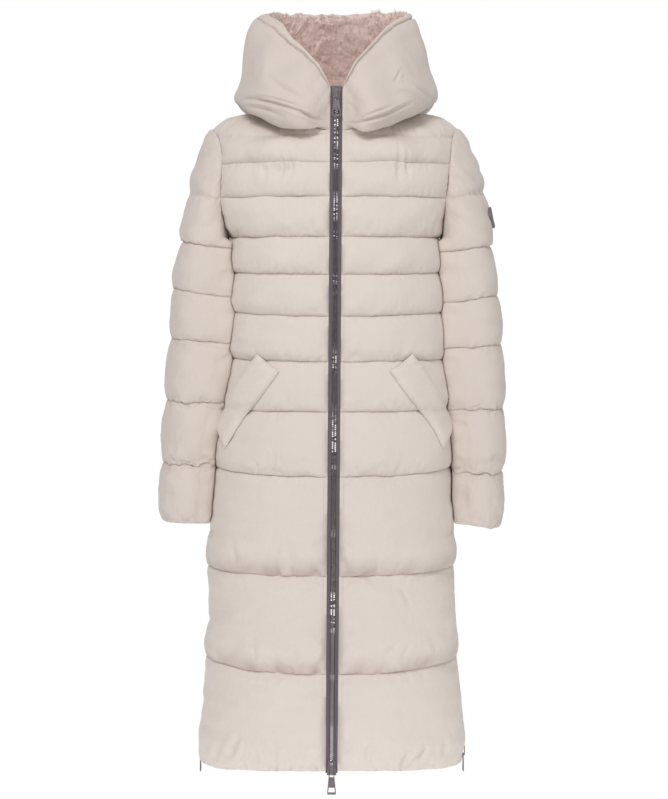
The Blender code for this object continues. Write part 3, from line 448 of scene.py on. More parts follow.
def skin_object(name, faces, verts, uv, finish, wrap=None, sharp=60):
    """A mesh object from points in millimetres, its faces turned outwards, with a UV map in metres."""
    verts = np.asarray(verts, float) * MM
    sizes = np.array([len(face) for face in faces])
    corners = np.concatenate([np.asarray(face) for face in faces])
    starts = np.concatenate([[0], np.cumsum(sizes)[:-1]])
    volume = 0.0
    for k in range(1, sizes.max() - 1):
        has = sizes > k + 1
        a, b, c = (verts[corners[starts[has] + n]] for n in (0, k, k + 1))
        volume += np.sum(a * np.cross(b, c))
    if volume < 0:
        faces = [tuple(face)[::-1] for face in faces]
        corners = np.concatenate([np.asarray(face) for face in faces])
    mesh = bpy.data.meshes.new(name)
    mesh.from_pydata(verts.tolist(), [], [tuple(map(int, face)) for face in faces])
    spots = np.array(uv, float)[corners]
    if wrap:
        owner = np.repeat(np.arange(len(sizes)), sizes)
        widest = np.zeros(len(sizes))
        np.maximum.at(widest, owner, spots[:, 0])
        behind = spots[:, 0] < widest[owner] - wrap / 2
        spots[behind, 0] += wrap
    layer = mesh.uv_layers.new(name="cloth")
    layer.uv.foreach_set("vector", (spots * MM).ravel())
    mesh.materials.append(finish)
    mesh.shade_smooth()
    mesh.set_sharp_from_angle(angle=math.radians(sharp))
    piece = bpy.data.objects.new(name, mesh)
    bpy.context.scene.collection.objects.link(piece)
    return piece


def padded_wall(name, outer, inner, uv, finish, around=False, thin=3, wrap=None):
    """A closed quilted wall: the fine outer skin, a coarser inner skin, and the edges that join them."""
    rows, cols = outer.shape[:2]
    keep_r = sorted({*range(0, rows, thin), rows - 1})
    keep_c = list(range(0, cols, thin)) if around else sorted({*range(0, cols, thin), cols - 1})
    spot = np.ix_(keep_r, keep_c)
    half = rows * cols
    verts = np.concatenate([outer.reshape(-1, 3), inner[spot].reshape(-1, 3)])
    marks = np.concatenate([uv.reshape(-1, 2), uv[spot].reshape(-1, 2)])
    faces = []
    for size_r, size_c, first, flip in ((rows, cols, 0, False), (len(keep_r), len(keep_c), half, True)):
        r = np.arange(size_r - 1)[:, None]
        c = np.arange(size_c if around else size_c - 1)[None, :]
        n = (c + 1) % size_c
        quads = np.stack(
            np.broadcast_arrays(r * size_c + c, r * size_c + n, (r + 1) * size_c + n, (r + 1) * size_c + c),
            axis=-1,
        ).reshape(-1, 4) + first
        faces += list(quads[:, ::-1] if flip else quads)
    count_c = len(keep_c)
    for row, inner_row, turn in ((0, 0, 1), (rows - 1, len(keep_r) - 1, -1)):
        for k in range(count_c if around else count_c - 1):
            low = keep_c[k]
            high = keep_c[k + 1] if k + 1 < count_c else cols
            edge = [row * cols + c % cols for c in range(low, high + 1)]
            back = [half + inner_row * count_c + (k + 1) % count_c, half + inner_row * count_c + k]
            faces.append(edge[::-1] + back[::-1] if turn == 1 else edge + back)
    if not around:
        for col, inner_col, turn in ((0, 0, 1), (cols - 1, count_c - 1, -1)):
            for k in range(len(keep_r) - 1):
                edge = [r * cols + col for r in range(keep_r[k], keep_r[k + 1] + 1)]
                back = [half + (k + 1) * count_c + inner_col, half + k * count_c + inner_col]
                faces.append(edge + back if turn == 1 else (edge + back)[::-1])
    return skin_object(name, faces, verts, marks, finish, wrap)


class Wire:
    """A shader socket that can be used in sums: each sum adds the Math node that works it out."""

    def __init__(self, socket):
        self.socket = socket

    def math(self, operation, first, second):
        return Finish.of(self).node("ShaderNodeMath", {"operation": operation}, {0: first, 1: second})

    def __add__(self, other):
        return self.math("ADD", self, other)

    def __rsub__(self, other):
        return self.math("SUBTRACT", other, self)

    def __mul__(self, other):
        return self.math("MULTIPLY", self, other)

    __radd__ = __add__
    __rmul__ = __mul__


class Finish:
    """A material being made, with one method that adds any node and joins its sockets."""

    made = {}

    def __init__(self, name, roughness, metallic=0.0, **constants):
        self.material = bpy.data.materials.new(name)
        self.material.use_nodes = True
        self.tree = self.material.node_tree
        self.shader = self.tree.nodes["Principled BSDF"]
        self.shader.inputs["Roughness"].default_value = roughness
        self.shader.inputs["Metallic"].default_value = metallic
        for socket, value in constants.items():
            self.shader.inputs[socket.replace("_", " ")].default_value = value
        Finish.made[self.tree] = self

    @staticmethod
    def of(wire):
        """The finish that a wire belongs to."""
        return Finish.made[wire.socket.id_data]

    def node(self, kind, settings=None, sockets=None, out=0):
        """Adds a node, sets it, joins or fills its sockets, and gives one of its results."""
        added = self.tree.nodes.new(kind)
        for name, value in (settings or {}).items():
            setattr(added, name, value)
        for name, value in (sockets or {}).items():
            entry = added.inputs[name]
            if isinstance(value, Wire):
                self.tree.links.new(value.socket, entry)
            else:
                entry.default_value = value
        return Wire(added.outputs[out])

    def mix(self, factor, first, second):
        """Two colours mixed by a factor."""
        sockets = {0: factor}
        for index, colour in ((6, first), (7, second)):
            sockets[index] = colour if isinstance(colour, Wire) else (*colour, 1.0)
        return self.node("ShaderNodeMix", {"data_type": "RGBA"}, sockets, out=2)

    def noise(self, where, scale, detail=2.0, roughness=0.5, distortion=0.0):
        """Soft random tone over a surface."""
        sockets = {
            "Vector": where, "Scale": scale, "Detail": detail, "Roughness": roughness,
            "Distortion": distortion,
        }
        return self.node("ShaderNodeTexNoise", {}, sockets)

    def stretched(self, where, scale):
        """The same places, scaled in each direction."""
        return self.node("ShaderNodeMapping", {}, {"Vector": where, "Scale": scale})

    def bump(self, height, distance, strength=1.0, below=None):
        """Small relief, on top of another bump where one is given."""
        sockets = {"Height": height, "Distance": distance, "Strength": strength}
        if below is not None:
            sockets["Normal"] = below
        return self.node("ShaderNodeBump", {}, sockets)

    def feed(self, **wires):
        """Joins wires to the shader's own sockets and gives the finished material."""
        for name, wire in wires.items():
            self.tree.links.new(wire.socket, self.shader.inputs[name.replace("_", " ")])
        return self.material


def linear(red, green, blue):
    """A colour given in screen values, as the shader takes it."""
    return tuple((((v / 255) + 0.055) / 1.055) ** 2.4 for v in (red, green, blue))


def quilted_cloth():
    """Matt beige polyester: a fine plain weave, soft crinkles, a faint uneven tone and painted shade where
    marked.
    """
    cloth = Finish("shell_cloth", 0.68, Sheen_Weight=0.25, Sheen_Roughness=0.5)
    cloth.shader.inputs["Specular IOR Level"].default_value = 0.35
    place = cloth.node("ShaderNodeTexCoord", out=3)
    thread = cloth.node("ShaderNodeUVMap", {"uv_map": "cloth"})
    tone = cloth.noise(place, 9.0, 3.0)
    fleck = cloth.noise(place, 900.0, 1.0)
    shade = cloth.mix(tone * 0.5 + fleck * 0.4, linear(215, 203, 194), linear(227, 217, 209))
    # Painted shade: the seam mark darkens seam creases, skirt undersides, a zip topstitch, sleeves and hood.
    seam = cloth.node("ShaderNodeAttribute", {"attribute_name": "seam"}, out=2)
    shade = cloth.mix(seam * 0.55, shade, linear(172, 152, 144))
    crinkle = cloth.noise(cloth.stretched(thread, (150.0, 60.0, 1.0)), 1.0, 4.0, 0.6, 0.6)
    warp = cloth.node("ShaderNodeTexWave", {"bands_direction": "X"}, {"Vector": thread, "Scale": 700.0})
    weft = cloth.node("ShaderNodeTexWave", {"bands_direction": "Y"}, {"Vector": thread, "Scale": 700.0})
    soft = cloth.bump(crinkle, 0.0016, 0.5)
    weave = cloth.bump(warp * weft, 0.0001, 0.4, soft)
    return cloth.feed(Base_Color=shade, Normal=weave)


SHELL = quilted_cloth()

# Larger folds of the two fronts: start, middle and end as (from the zip, height), then
# how wide and how deep. The back and the sleeves get similar ones further down.
FRONT_FOLDS = {
    RIGHT: [
        ((182, -1018), (175, -1006), (168, -990), 6, 4.0),
        ((153, -1008), (148, -995), (141, -980), 6, 4.0),
        ((92, -1012), (88, -1000), (86, -985), 7, 2.4),
        ((40, -1010), (44, -994), (43, -975), 6, 2.2),
        ((14, -742), (30, -748), (48, -752), 4, 1.6),
        ((12, -812), (26, -818), (40, -816), 4, 1.8),
        ((12, -905), (24, -912), (42, -908), 4, 1.8),
        ((60, -705), (66, -690), (64, -672), 7, 2.0),
        ((110, -862), (118, -846), (120, -826), 8, 2.4),
        ((60, -866), (58, -850), (64, -836), 6, 2.0),
        ((150, -712), (148, -696), (154, -676), 7, 2.2),
        ((30, -556), (52, -548), (74, -556), 7, 1.5),
        ((92, -104), (84, -84), (86, -62), 5, 2.2),
        ((74, -96), (70, -78), (78, -58), 5, 1.8),
        ((120, -116), (112, -98), (114, -78), 5, 1.6),
    ],
    LEFT: [
        ((47, -726), (58, -735), (68, -745), 4, 2.2),
        ((104, -750), (114, -762), (120, -778), 5, 2.4),
        ((80, -850), (88, -842), (100, -832), 5, 2.2),
        ((106, -860), (109, -850), (116, -838), 5, 2.0),
        ((12, -672), (15, -698), (24, -724), 5, 2.4),
        ((109, -1024), (110, -1014), (116, -1002), 6, 4.0),
        ((131, -1012), (138, -1004), (145, -994), 6, 3.6),
        ((60, -1014), (56, -1002), (60, -984), 6, 2.2),
        ((168, -1012), (172, -1000), (168, -984), 6, 2.6),
        ((12, -820), (26, -812), (40, -816), 4, 1.8),
        ((12, -896), (28, -890), (44, -893), 4, 1.8),
        ((12, -948), (24, -940), (38, -944), 4, 1.6),
        ((150, -864), (154, -848), (150, -828), 7, 2.2),
        ((36, -866), (34, -850), (38, -838), 6, 1.8),
        ((96, -104), (99, -80), (96, -50), 5, 2.4),
        ((112, -98), (112, -78), (106, -56), 4, 1.6),
        ((60, -560), (78, -552), (98, -556), 7, 1.5),
    ],
}


def seam_puckers(along, height, levels, seed, depth):
    """Puckers along each level seam, uneven from seam to seam."""
    total = np.zeros_like(along)
    for k, level in enumerate(levels):
        total += puckers(along, height - level, seed + k, depth=depth[k % len(depth)])
    return total


def quilt_relief(along, height, lift, seed, depth):
    """How far the skin sinks (positive) at puckers, and rises or sinks in slow waves where it's padded."""
    sunk = seam_puckers(along, height, SEAM_LEVELS + (YOKE_LEVEL,), seed, depth)
    full = np.clip(lift / 8.0, 0, 1)
    return sunk, full * lumps(along, height * 1.6, seed + 50, 62.0, 1.5)


def mark(piece, name, values):
    """Stores a value at each point of a piece's outer skin, for its material to read."""
    marks = np.zeros(len(piece.data.vertices), np.float32)
    marks[: values.size] = values.ravel()
    piece.data.attributes.new(name, "FLOAT", "POINT").data.foreach_set("value", marks)


def fraction_down(height, levels):
    """How far down its baffle each point lies, from 0 at the seam above to 1 at the seam below."""
    edges = np.array(levels)
    k = np.clip(np.searchsorted(edges, height, side="right"), 1, len(edges) - 1)
    return np.clip((edges[k] - height) / (edges[k] - edges[k - 1]), 0, 1)


def spare_cloth(down, along, height, seed):
    """Where a baffle has cloth to spare: most above its lower seam, some below its upper, in patches."""
    near = 0.22 + 0.78 * ease(0.55, 0.93, down) + 0.5 * ease(0.22, 0.04, down)
    return np.clip(near * (0.72 + 0.5 * lumps(along, height, seed, 120.0, 1.0)), 0, 1)


def settle(points, held, spare, seed, growth=0.045, push=2.8, frames=14, most=9.0, around=False):
    """Settles a skin that is cut a little large, held at its seams and pushed out by its padding."""
    rows, cols = points.shape[:2]
    rng = np.random.default_rng(seed)
    start = points + rng.normal(0, 0.12, points.shape) * (~held)[..., None]
    r = np.arange(rows - 1)[:, None]
    c = np.arange(cols if around else cols - 1)[None, :]
    n = (c + 1) % cols
    ring = np.broadcast_arrays(r * cols + c, (r + 1) * cols + c, (r + 1) * cols + n, r * cols + n)
    faces = np.stack(ring, axis=-1).reshape(-1, 4)
    a, b, d = (start.reshape(-1, 3)[faces[:, k]] for k in (0, 1, 2))
    axis = points.reshape(-1, 3).mean(axis=0)
    out = a - np.array([axis[0] if around else 0.0, 0.0, 0.0])
    if np.sum((np.cross(b - a, d - a) * out)[:, :2]) < 0:
        faces = faces[:, ::-1]
    mesh = bpy.data.meshes.new("settling")
    mesh.from_pydata((start.reshape(-1, 3) * MM).tolist(), [], faces.tolist())
    cloth = bpy.data.objects.new("settling", mesh)
    bpy.context.scene.collection.objects.link(cloth)
    pins = cloth.vertex_groups.new(name="held")
    pins.add([int(i) for i in np.where(held.ravel())[0]], 1.0, "REPLACE")
    extra = cloth.vertex_groups.new(name="spare")
    for share in range(10):
        members = np.where(np.round(spare.ravel() * 10) == share)[0]
        extra.add([int(i) for i in members], 1 - share / 10, "REPLACE")
    modifier = cloth.modifiers.new("settle", "CLOTH")
    rules = modifier.settings
    rules.quality = 4
    rules.mass = 0.15
    rules.tension_stiffness = rules.compression_stiffness = 9.0
    rules.shear_stiffness = 3.0
    rules.bending_stiffness = 0.06
    rules.tension_damping = rules.compression_damping = rules.shear_damping = 5.0
    rules.air_damping = 3.0
    rules.vertex_group_mass = "held"
    rules.vertex_group_shrink = "spare"
    rules.shrink_min = -growth
    rules.shrink_max = 0.0
    rules.use_pressure = True
    rules.uniform_pressure_force = push
    rules.effector_weights.gravity = 0.0
    modifier.collision_settings.use_collision = False
    modifier.point_cache.frame_start = 1
    modifier.point_cache.frame_end = frames
    for frame_number in range(1, frames + 1):
        bpy.context.scene.frame_set(frame_number)
    settled = cloth.evaluated_get(bpy.context.evaluated_depsgraph_get()).to_mesh()
    places = np.empty(rows * cols * 3, np.float32)
    settled.vertices.foreach_get("co", places)
    bpy.data.objects.remove(cloth)
    bpy.context.scene.frame_set(1)
    move = places.reshape(points.shape) / MM - points
    length = np.linalg.norm(move, axis=-1, keepdims=True)
    return points + move * np.minimum(1, most / np.maximum(length, 1e-6))


# Depth of the puckers at each seam, from the hem up, and how the finished skin is drawn in at them.
PUCKER_DEPTH = (0.8, 0.9, 0.9, 0.7, 0.6, 0.5, 0.5, 0.6, 0.6, 0.5, 0.4, 0.4)
SKIN_SHARE = 0.9
SEAM_BITE = 1.3
SEAM_LINE = 1.2
# Distance from the zip of a topstitch line drawn as painted shade.
EDGE_STITCH = 5.0
SEAM_WAVER = 0.6
DRAG_DEPTH = 6.0
DRAG_REACH = 50.0
# Height of the painted shade above the seams under the skirt baffles.
UNDERSIDE = 36.0
FOLD_WIDTH = 0.75
FOLD_DEPTH = 1.3


def finish_panel(name, grid, lift, normals, sunk, uv, height, seed):
    """Settles a panel's skin, draws it in at its seams, makes the padded piece and marks its painted shade.
    """
    outer = grid + normals * (SKIN_SHARE * lift - sunk)[..., None]
    levels = SEAM_LEVELS + (YOKE_LEVEL,)
    off_seam = np.min([np.abs(height - level) for level in levels[1:]], axis=0)
    held = off_seam < 0.6
    held[[0, -1]] = held[:, [0, -1]] = True
    spare = spare_cloth(fraction_down(height, levels + (30.0,)), uv[..., 0], height, seed)
    to_level = np.min([np.abs(height[:, 10] - level) for level in SEAM_LEVELS[1:]], axis=0)
    STITCHED[name.removeprefix("quilted_")] = np.flatnonzero(to_level < 0.3).tolist()
    outer = settle(outer, held, spare, seed)
    ends = dome(uv[..., 0] - uv[:, :1, 0], 20) * dome(uv[:, -1:, 0] - uv[..., 0], 20)
    waver = SEAM_WAVER * ends * ease(0, -60, height)
    waver = waver[..., None] * (0, 0, 1) * lumps(uv[..., 0], height, seed + 7, 46.0, 1.0)[..., None]
    grid = grid + waver
    outer = outer + waver
    above = np.min([np.where(height > level, height - level, 999.0) for level in levels], axis=0)
    skirt = ease(-640, -690, height) * ends
    drags = puckers(uv[..., 0], above, seed + 9, spacing=25, reach=DRAG_REACH, depth=DRAG_DEPTH)
    drags = drags * skirt * dome(above, 4)
    at_seam = beside(off_seam, SEAM_LINE)
    bite = SEAM_BITE * at_seam
    outer = outer - normals * (bite + drags)[..., None]
    inner = grid - normals * (SEAM_WALL + lift * INNER_PUFF)[..., None]
    piece = padded_wall(name, outer, inner, uv, SHELL)
    # Painted shade in the seam mark: seam creases, darker lower down, bands under the skirt baffles, a zip
    # topstitch.
    line = at_seam * (0.2 + 0.25 * ease(-150, -230, height))
    line = line * (0.8 + 0.35 * lumps(uv[..., 0], height, seed + 8, 60.0, 1.0))
    underside_shade = ease(UNDERSIDE, 3, above) * skirt * ease(-1000, -940, height)
    line = np.maximum(line, underside_shade * (0.66 + 0.25 * lumps(uv[..., 0], height * 0.4, seed + 10, 34.0, 1.0)))
    if name != "quilted_back":
        to_zip = uv[..., 0] - uv[:, :1, 0]
        line = np.maximum(line, 0.3 * beside(to_zip - EDGE_STITCH, 0.9))
    mark(piece, "seam", np.clip(line, 0, 1))
    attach(piece, "coat")
    return outer


skins = {}
STITCHED = {}
for side in (RIGHT, LEFT):
    name = side_name(side)
    grid, lift, height = half_panel(FRONT_COLUMNS, side, "front")
    normals = panel_normals(grid)
    normals[:, 0, 0] = 0
    normals = unit(normals)
    along = lengths(grid, 1)
    sunk, slow = quilt_relief(along, height, lift, 100 if side == LEFT else 200, PUCKER_DEPTH)
    across = np.abs(grid[..., 0] - zip_line(grid[..., 2]))
    for *line, width, deep in FRONT_FOLDS[side]:
        sunk += fold(across, height, *line, width * FOLD_WIDTH, deep * FOLD_DEPTH)
    below_yoke = height < SEAM_LEVELS[-1]
    zip_draws = puckers(height.T, along.T, 300 + side, spacing=15, reach=26, depth=1.2).T
    side_draws = puckers(height.T, (along[:, -1:] - along).T, 310 + side, spacing=13, reach=24, depth=1.6).T
    sunk += zip_draws * below_yoke + side_draws
    to_zip = along
    to_side = along[:, -1:] - along
    keep = dome(to_zip, 7) * dome(to_side, 8)
    to_top = lengths(grid, 0)[-1:] - lengths(grid, 0)
    keep = keep * dome(to_top, 10)
    sunk = (sunk - slow) * keep
    uv = np.stack([along, lengths(grid, 0)], axis=-1)
    skins["front_" + name] = finish_panel(
        "quilted_front_" + name, grid, lift, normals, sunk, uv, height, 110 + side
    )
    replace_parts(bpy.data.objects["quilted_front_" + name], "front_" + name)

halves = [half_panel(BACK_COLUMNS, side, "back") for side in (RIGHT, LEFT)]
grid = np.concatenate([halves[0][0][:, ::-1], halves[1][0][:, 1:]], axis=1)
lift = np.concatenate([halves[0][1][:, ::-1], halves[1][1][:, 1:]], axis=1)
height = np.concatenate([halves[0][2][:, ::-1], halves[1][2][:, 1:]], axis=1)
normals = panel_normals(grid)
along = lengths(grid, 1)
middle = along[:, BACK_COLUMNS - 1 : BACK_COLUMNS]
sunk, slow = quilt_relief(along, height, lift, 400, PUCKER_DEPTH)
# The back's folds, as (sideways from its middle, height).
BACK_FOLDS = [
    ((-150, -1016), (-146, -1002), (-138, -986), 7, 3.6),
    ((-96, -1012), (-92, -998), (-94, -982), 7, 2.8),
    ((-40, -1016), (-44, -1000), (-40, -978), 6, 2.6),
    ((22, -1012), (28, -996), (26, -980), 7, 2.8),
    ((78, -1016), (80, -1000), (88, -984), 7, 3.4),
    ((140, -1012), (146, -1000), (148, -980), 7, 3.0),
    ((-120, -866), (-112, -848), (-110, -830), 8, 2.4),
    ((-30, -864), (-24, -846), (-26, -826), 7, 2.2),
    ((66, -862), (72, -846), (84, -834), 7, 2.4),
    ((132, -866), (130, -846), (138, -828), 7, 2.2),
    ((-90, -712), (-84, -696), (-86, -676), 7, 2.2),
    ((12, -710), (18, -694), (14, -674), 7, 2.0),
    ((100, -712), (106, -698), (108, -678), 7, 2.2),
    ((-60, -556), (-20, -546), (30, -555), 8, 1.6),
    ((-130, -110), (-118, -92), (-114, -70), 6, 1.8),
    ((124, -112), (112, -94), (108, -72), 6, 1.8),
]
for *line, width, deep in BACK_FOLDS:
    sunk += fold(grid[..., 0], height, *line, width * FOLD_WIDTH, deep * FOLD_DEPTH)
ends = np.minimum(along, along[:, -1:] - along)
for turned, seed in ((along, 320), (along[:, -1:] - along, 330)):
    sunk += puckers(height.T, turned.T, seed, spacing=13, reach=24, depth=1.6).T
to_top = lengths(grid, 0)[-1:] - lengths(grid, 0)
sunk = (sunk - slow) * dome(ends, 8) * dome(to_top, 10)
uv = np.stack([along - middle, lengths(grid, 0)], axis=-1)
skins["back"] = finish_panel("quilted_back", grid, lift, normals, sunk, uv, height, 112)
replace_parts(bpy.data.objects["quilted_back"], "back")

# ---------------------------------------------------------------- sleeves
# Two set-in sleeves of the same quilted cloth, filled out and hanging a little away from the body.
# Each is one padded tube, sewn through across the cap and at five rings down to the open cuff.
SLEEVE_RIGHT = table(
    "xo zo xi zi depth lean",
    [
        (249, -198, 176.5, -211, 74, 0),
        (263, -274, 175.5, -290, 72, 1),
        (266, -356, 179.0, -363, 69, 3),
        (274, -457, 187.0, -461, 65, 6),
        (280, -559, 202.5, -559, 60, 9),
        (281, -652, 209.0, -655, 54, 12),
    ],
)
SLEEVE_LEFT = table(
    "xo zo xi zi depth lean",
    [
        (257, -205, 180.5, -217, 74, 0),
        (268, -285, 189.5, -300, 72, 1),
        (273, -365, 192.0, -373, 69, 3),
        (276, -469, 198.5, -471, 65, 6),
        (275, -573, 203.5, -573, 60, 9),
        (270, -664, 206.0, -655, 54, 12),
    ],
)
# The padding's fullness, the squareness of the oval tube, how its inner side is drawn in towards the
# body, and how the cap leaves the armhole.
SLEEVE_PUFF = 6.0
RING_PUFF = 0.75
SLEEVE_SAG = 1.2
CAP_REACH = 25.0
INNER_HELD = 0.95
SLEEVE_POWER = 2.3
SLEEVE_FLAT = 1.6
HUG_ANGLE = 2.3
HUG_SPREAD = 0.55
SLEEVE_HUG = table("place inward", [(0, 5), (1, 10), (2, 12), (3, 9), (4, 2), (5, 1)])
ARMHOLE_GAP = 0.85
CAP_SEAM = (-118.0, 0.2, 237.0)
CAP_PULL = {RIGHT: 0.16, LEFT: 0.22}
SLEEVE_PARTS = 16
SLEEVE_COLUMNS = 144
CAP_ROWS = 34
# Rows of the ring seams, the body's levels along the armhole with the steps between them, and how near
# a sleeve may rest against the body below the armpit.
SLEEVE_BAFFLES = 5
BAFFLE_ROWS = 28
RING_ROWS = [CAP_ROWS + BAFFLE_ROWS * k for k in range(SLEEVE_BAFFLES)]
ARM_LEVELS = SEAM_LEVELS[:-4:-1]
ARM_STEPS = (0.0, 0.33, 0.74)
LEAST_CLEAR = 0.9
ARMPIT_BELOW = (-190, -200)


def armhole_loop(side, places):
    """Edge points and outward normals at places 0 to 16 round the armhole, the armpit at 8."""
    spans = list(zip(ARM_LEVELS[:-1], ARM_LEVELS[1:]))
    heights = [high + (low - high) * step for high, low in spans for step in ARM_STEPS]
    heights = np.array(heights + [ARM_LEVELS[-1]])
    found = {}
    fine = np.linspace(ARM_LEVELS[-1], ARM_LEVELS[0], 239)
    for facing in ("front", "back"):
        columns = np.array([0.96, 0.98, 1.0])
        low = body_rows(fine[:, None], columns[None, :], side, facing)
        crown = top_rows(np.linspace(0, 1, 101)[1:], columns, side, facing)
        grid = np.concatenate([low, crown])
        normals = panel_normals(grid)
        rows = np.interp(heights, fine, np.arange(len(fine)))
        rows = np.concatenate([[len(grid) - 1, len(fine) + 49], rows])
        found[facing] = (grid[:, -1], normals[:, -1], rows)
    marks = np.arange(9)
    loop = np.zeros((len(places), 3))
    normals = np.zeros((len(places), 3))
    for facing, where, count in (("front", places <= 8, places), ("back", places > 8, 16 - places)):
        edge, out, rows = found[facing]
        spot = smooth(marks, rows, count[where])
        index = np.arange(len(edge))
        for k in range(3):
            loop[where, k] = np.interp(spot, index, edge[:, k])
            normals[where, k] = np.interp(spot, index, out[:, k])
    return loop, unit(normals)


def sleeve_ring(place, side, angles):
    """One oval section of the sleeve: place counts seams down from the armpit to the cuff."""
    rows = SLEEVE_RIGHT if side == RIGHT else SLEEVE_LEFT
    count = np.arange(len(rows["xo"]))
    xo, zo, xi, zi, depth, lean = (
        float(smooth(count, rows[key], place)) for key in ("xo", "zo", "xi", "zi", "depth", "lean")
    )
    c = np.cos(angles)
    s = np.sin(angles)
    power = 2 / (SLEEVE_POWER + SLEEVE_FLAT * ease(0.0, 1.0, -c))
    across = np.sign(c) * np.abs(c) ** power
    ahead = np.sign(s) * np.abs(s) ** power
    x = (xo + xi) / 2 + (xo - xi) / 2 * across
    hug = float(smooth(SLEEVE_HUG["place"], SLEEVE_HUG["inward"], place))
    x = x - hug * beside(angles - HUG_ANGLE, HUG_SPREAD)
    z = (zo + zi) / 2 + (zo - zi) / 2 * across
    return np.stack([side * x, -lean - depth * ahead, z], axis=-1)


def sleeve_grid(side):
    """Base grid, padding lift and normals of a sleeve, and the angle of each of its columns."""
    places = np.arange(SLEEVE_COLUMNS) * SLEEVE_PARTS / SLEEVE_COLUMNS
    loop, edge_normals = armhole_loop(side, places)
    angles = places * 2 * math.pi / SLEEVE_PARTS
    near = (1 + np.cos(angles)) / 2
    first = sleeve_ring(0, side, angles)
    axis = unit(sleeve_ring(0.15, side, angles) - first)
    leave = unit(
        np.stack([side * (0.35 + 0.45 * near), -0.22 * np.sin(angles), -(0.95 - 0.35 * near)], axis=-1)
    )
    start = loop + np.array([side * ARMHOLE_GAP, 0.0, 0.0])
    span = np.linalg.norm(first - start, axis=-1, keepdims=True)
    rows = []
    lifts = []
    level, tilt, reach = CAP_SEAM
    pull = span * CAP_PULL[side]
    for v in np.linspace(0, 1, CAP_ROWS + 1):
        row = bezier(start, start + leave * pull, first - axis * pull, first, v)
        to_seam = np.abs(row[:, 2] - level + (reach - np.abs(row[:, 0])) * tilt)
        to_edge = np.linalg.norm(row - start, axis=-1)
        to_ring = np.linalg.norm(row - first, axis=-1)
        rows.append(row)
        on_top = 0.35 + 0.65 * ease(15, 75, to_edge)
        full = dome(to_seam, CAP_REACH) * dome(to_edge, CAP_REACH) * dome(to_ring, CAP_REACH)
        lifts.append(SLEEVE_PUFF * full * on_top)
    for baffle in range(SLEEVE_BAFFLES):
        t = np.arange(1, BAFFLE_ROWS + 1) / BAFFLE_ROWS
        t = t - SEAM_CROWD * np.sin(2 * math.pi * t) / (2 * math.pi)
        for down in t:
            rows.append(sleeve_ring(baffle + down, side, angles))
            lifts.append(np.full(len(angles), RING_PUFF * SLEEVE_PUFF * swell(down, SLEEVE_SAG)))
    grid = np.array(rows)
    inward = 1 - INNER_HELD * ease(0.5, 0.95, -np.cos(angles))
    lift = np.array(lifts) * inward[None, :]
    normals = cross_normals(grid, around=True)
    centre = grid.mean(axis=1, keepdims=True)
    normals = normals * np.sign(np.sum(normals[CAP_ROWS:] * (grid - centre)[CAP_ROWS:]))
    own = ease(0.55, 0.85, -np.cos(angles))[:, None]
    normals[0] = unit(edge_normals * (1 - own) + normals[1] * own)
    return grid, lift, normals, angles


def grid_faces(rows, cols, first=0, lowest=0):
    """The four-cornered faces of a grid of points whose first point has the number first."""
    corners = [first + r * cols + c for r in range(lowest, rows - 1) for c in range(cols - 1)]
    return [(k, k + 1, k + cols + 1, k + cols) for k in corners]


def surface(*grids):
    """A searchable surface of several skins, in millimetres."""
    verts = []
    faces = []
    for grid in grids:
        faces += grid_faces(*grid.shape[:2], len(verts))
        verts += grid.reshape(-1, 3).tolist()
    return BVHTree.FromPolygons(verts, faces)


def rest_against(points, side, body):
    """Lets the inner side of a sleeve lie against the body wherever it hangs close beside it."""
    rested = points.copy()
    for index in np.argwhere(points[..., 2] < ARMPIT_BELOW[0]):
        x, y, z = points[tuple(index)]
        hit = body.ray_cast(Vector((side * 400.0, y, z)), Vector((-side, 0, 0)))[0]
        if hit is None:
            continue
        clear = side * x - side * hit.x - LEAST_CLEAR
        fade = ease(*ARMPIT_BELOW, z)
        closer = clear * ease(8.0, 30.0, clear)
        rested[tuple(index)][0] = x - side * (clear - closer) * fade
    return rested


body_trees = {side: surface(skins["front_" + side_name(side)], skins["back"]) for side in (RIGHT, LEFT)}
# Depth of the puckers at each ring from the armpit down, and folds of both sleeves given as
# (round the sleeve, height) of start, middle and end, then how wide and how deep.
SLEEVE_PUCKERS = (0.9, 1.2, 1.8, 2.6, 3.0, 2.4)
SLEEVE_FOLDS = [
    ((40, -560), (60, -552), (90, -556), 6, 1.6),
    ((330, -470), (345, -440), (336, -400), 7, 1.8),
    ((60, -640), (70, -620), (64, -600), 7, 2.4),
    ((120, -642), (126, -622), (122, -604), 7, 2.2),
    ((280, -640), (276, -622), (284, -602), 7, 2.4),
    ((350, -640), (354, -620), (346, -600), 7, 2.0),
]

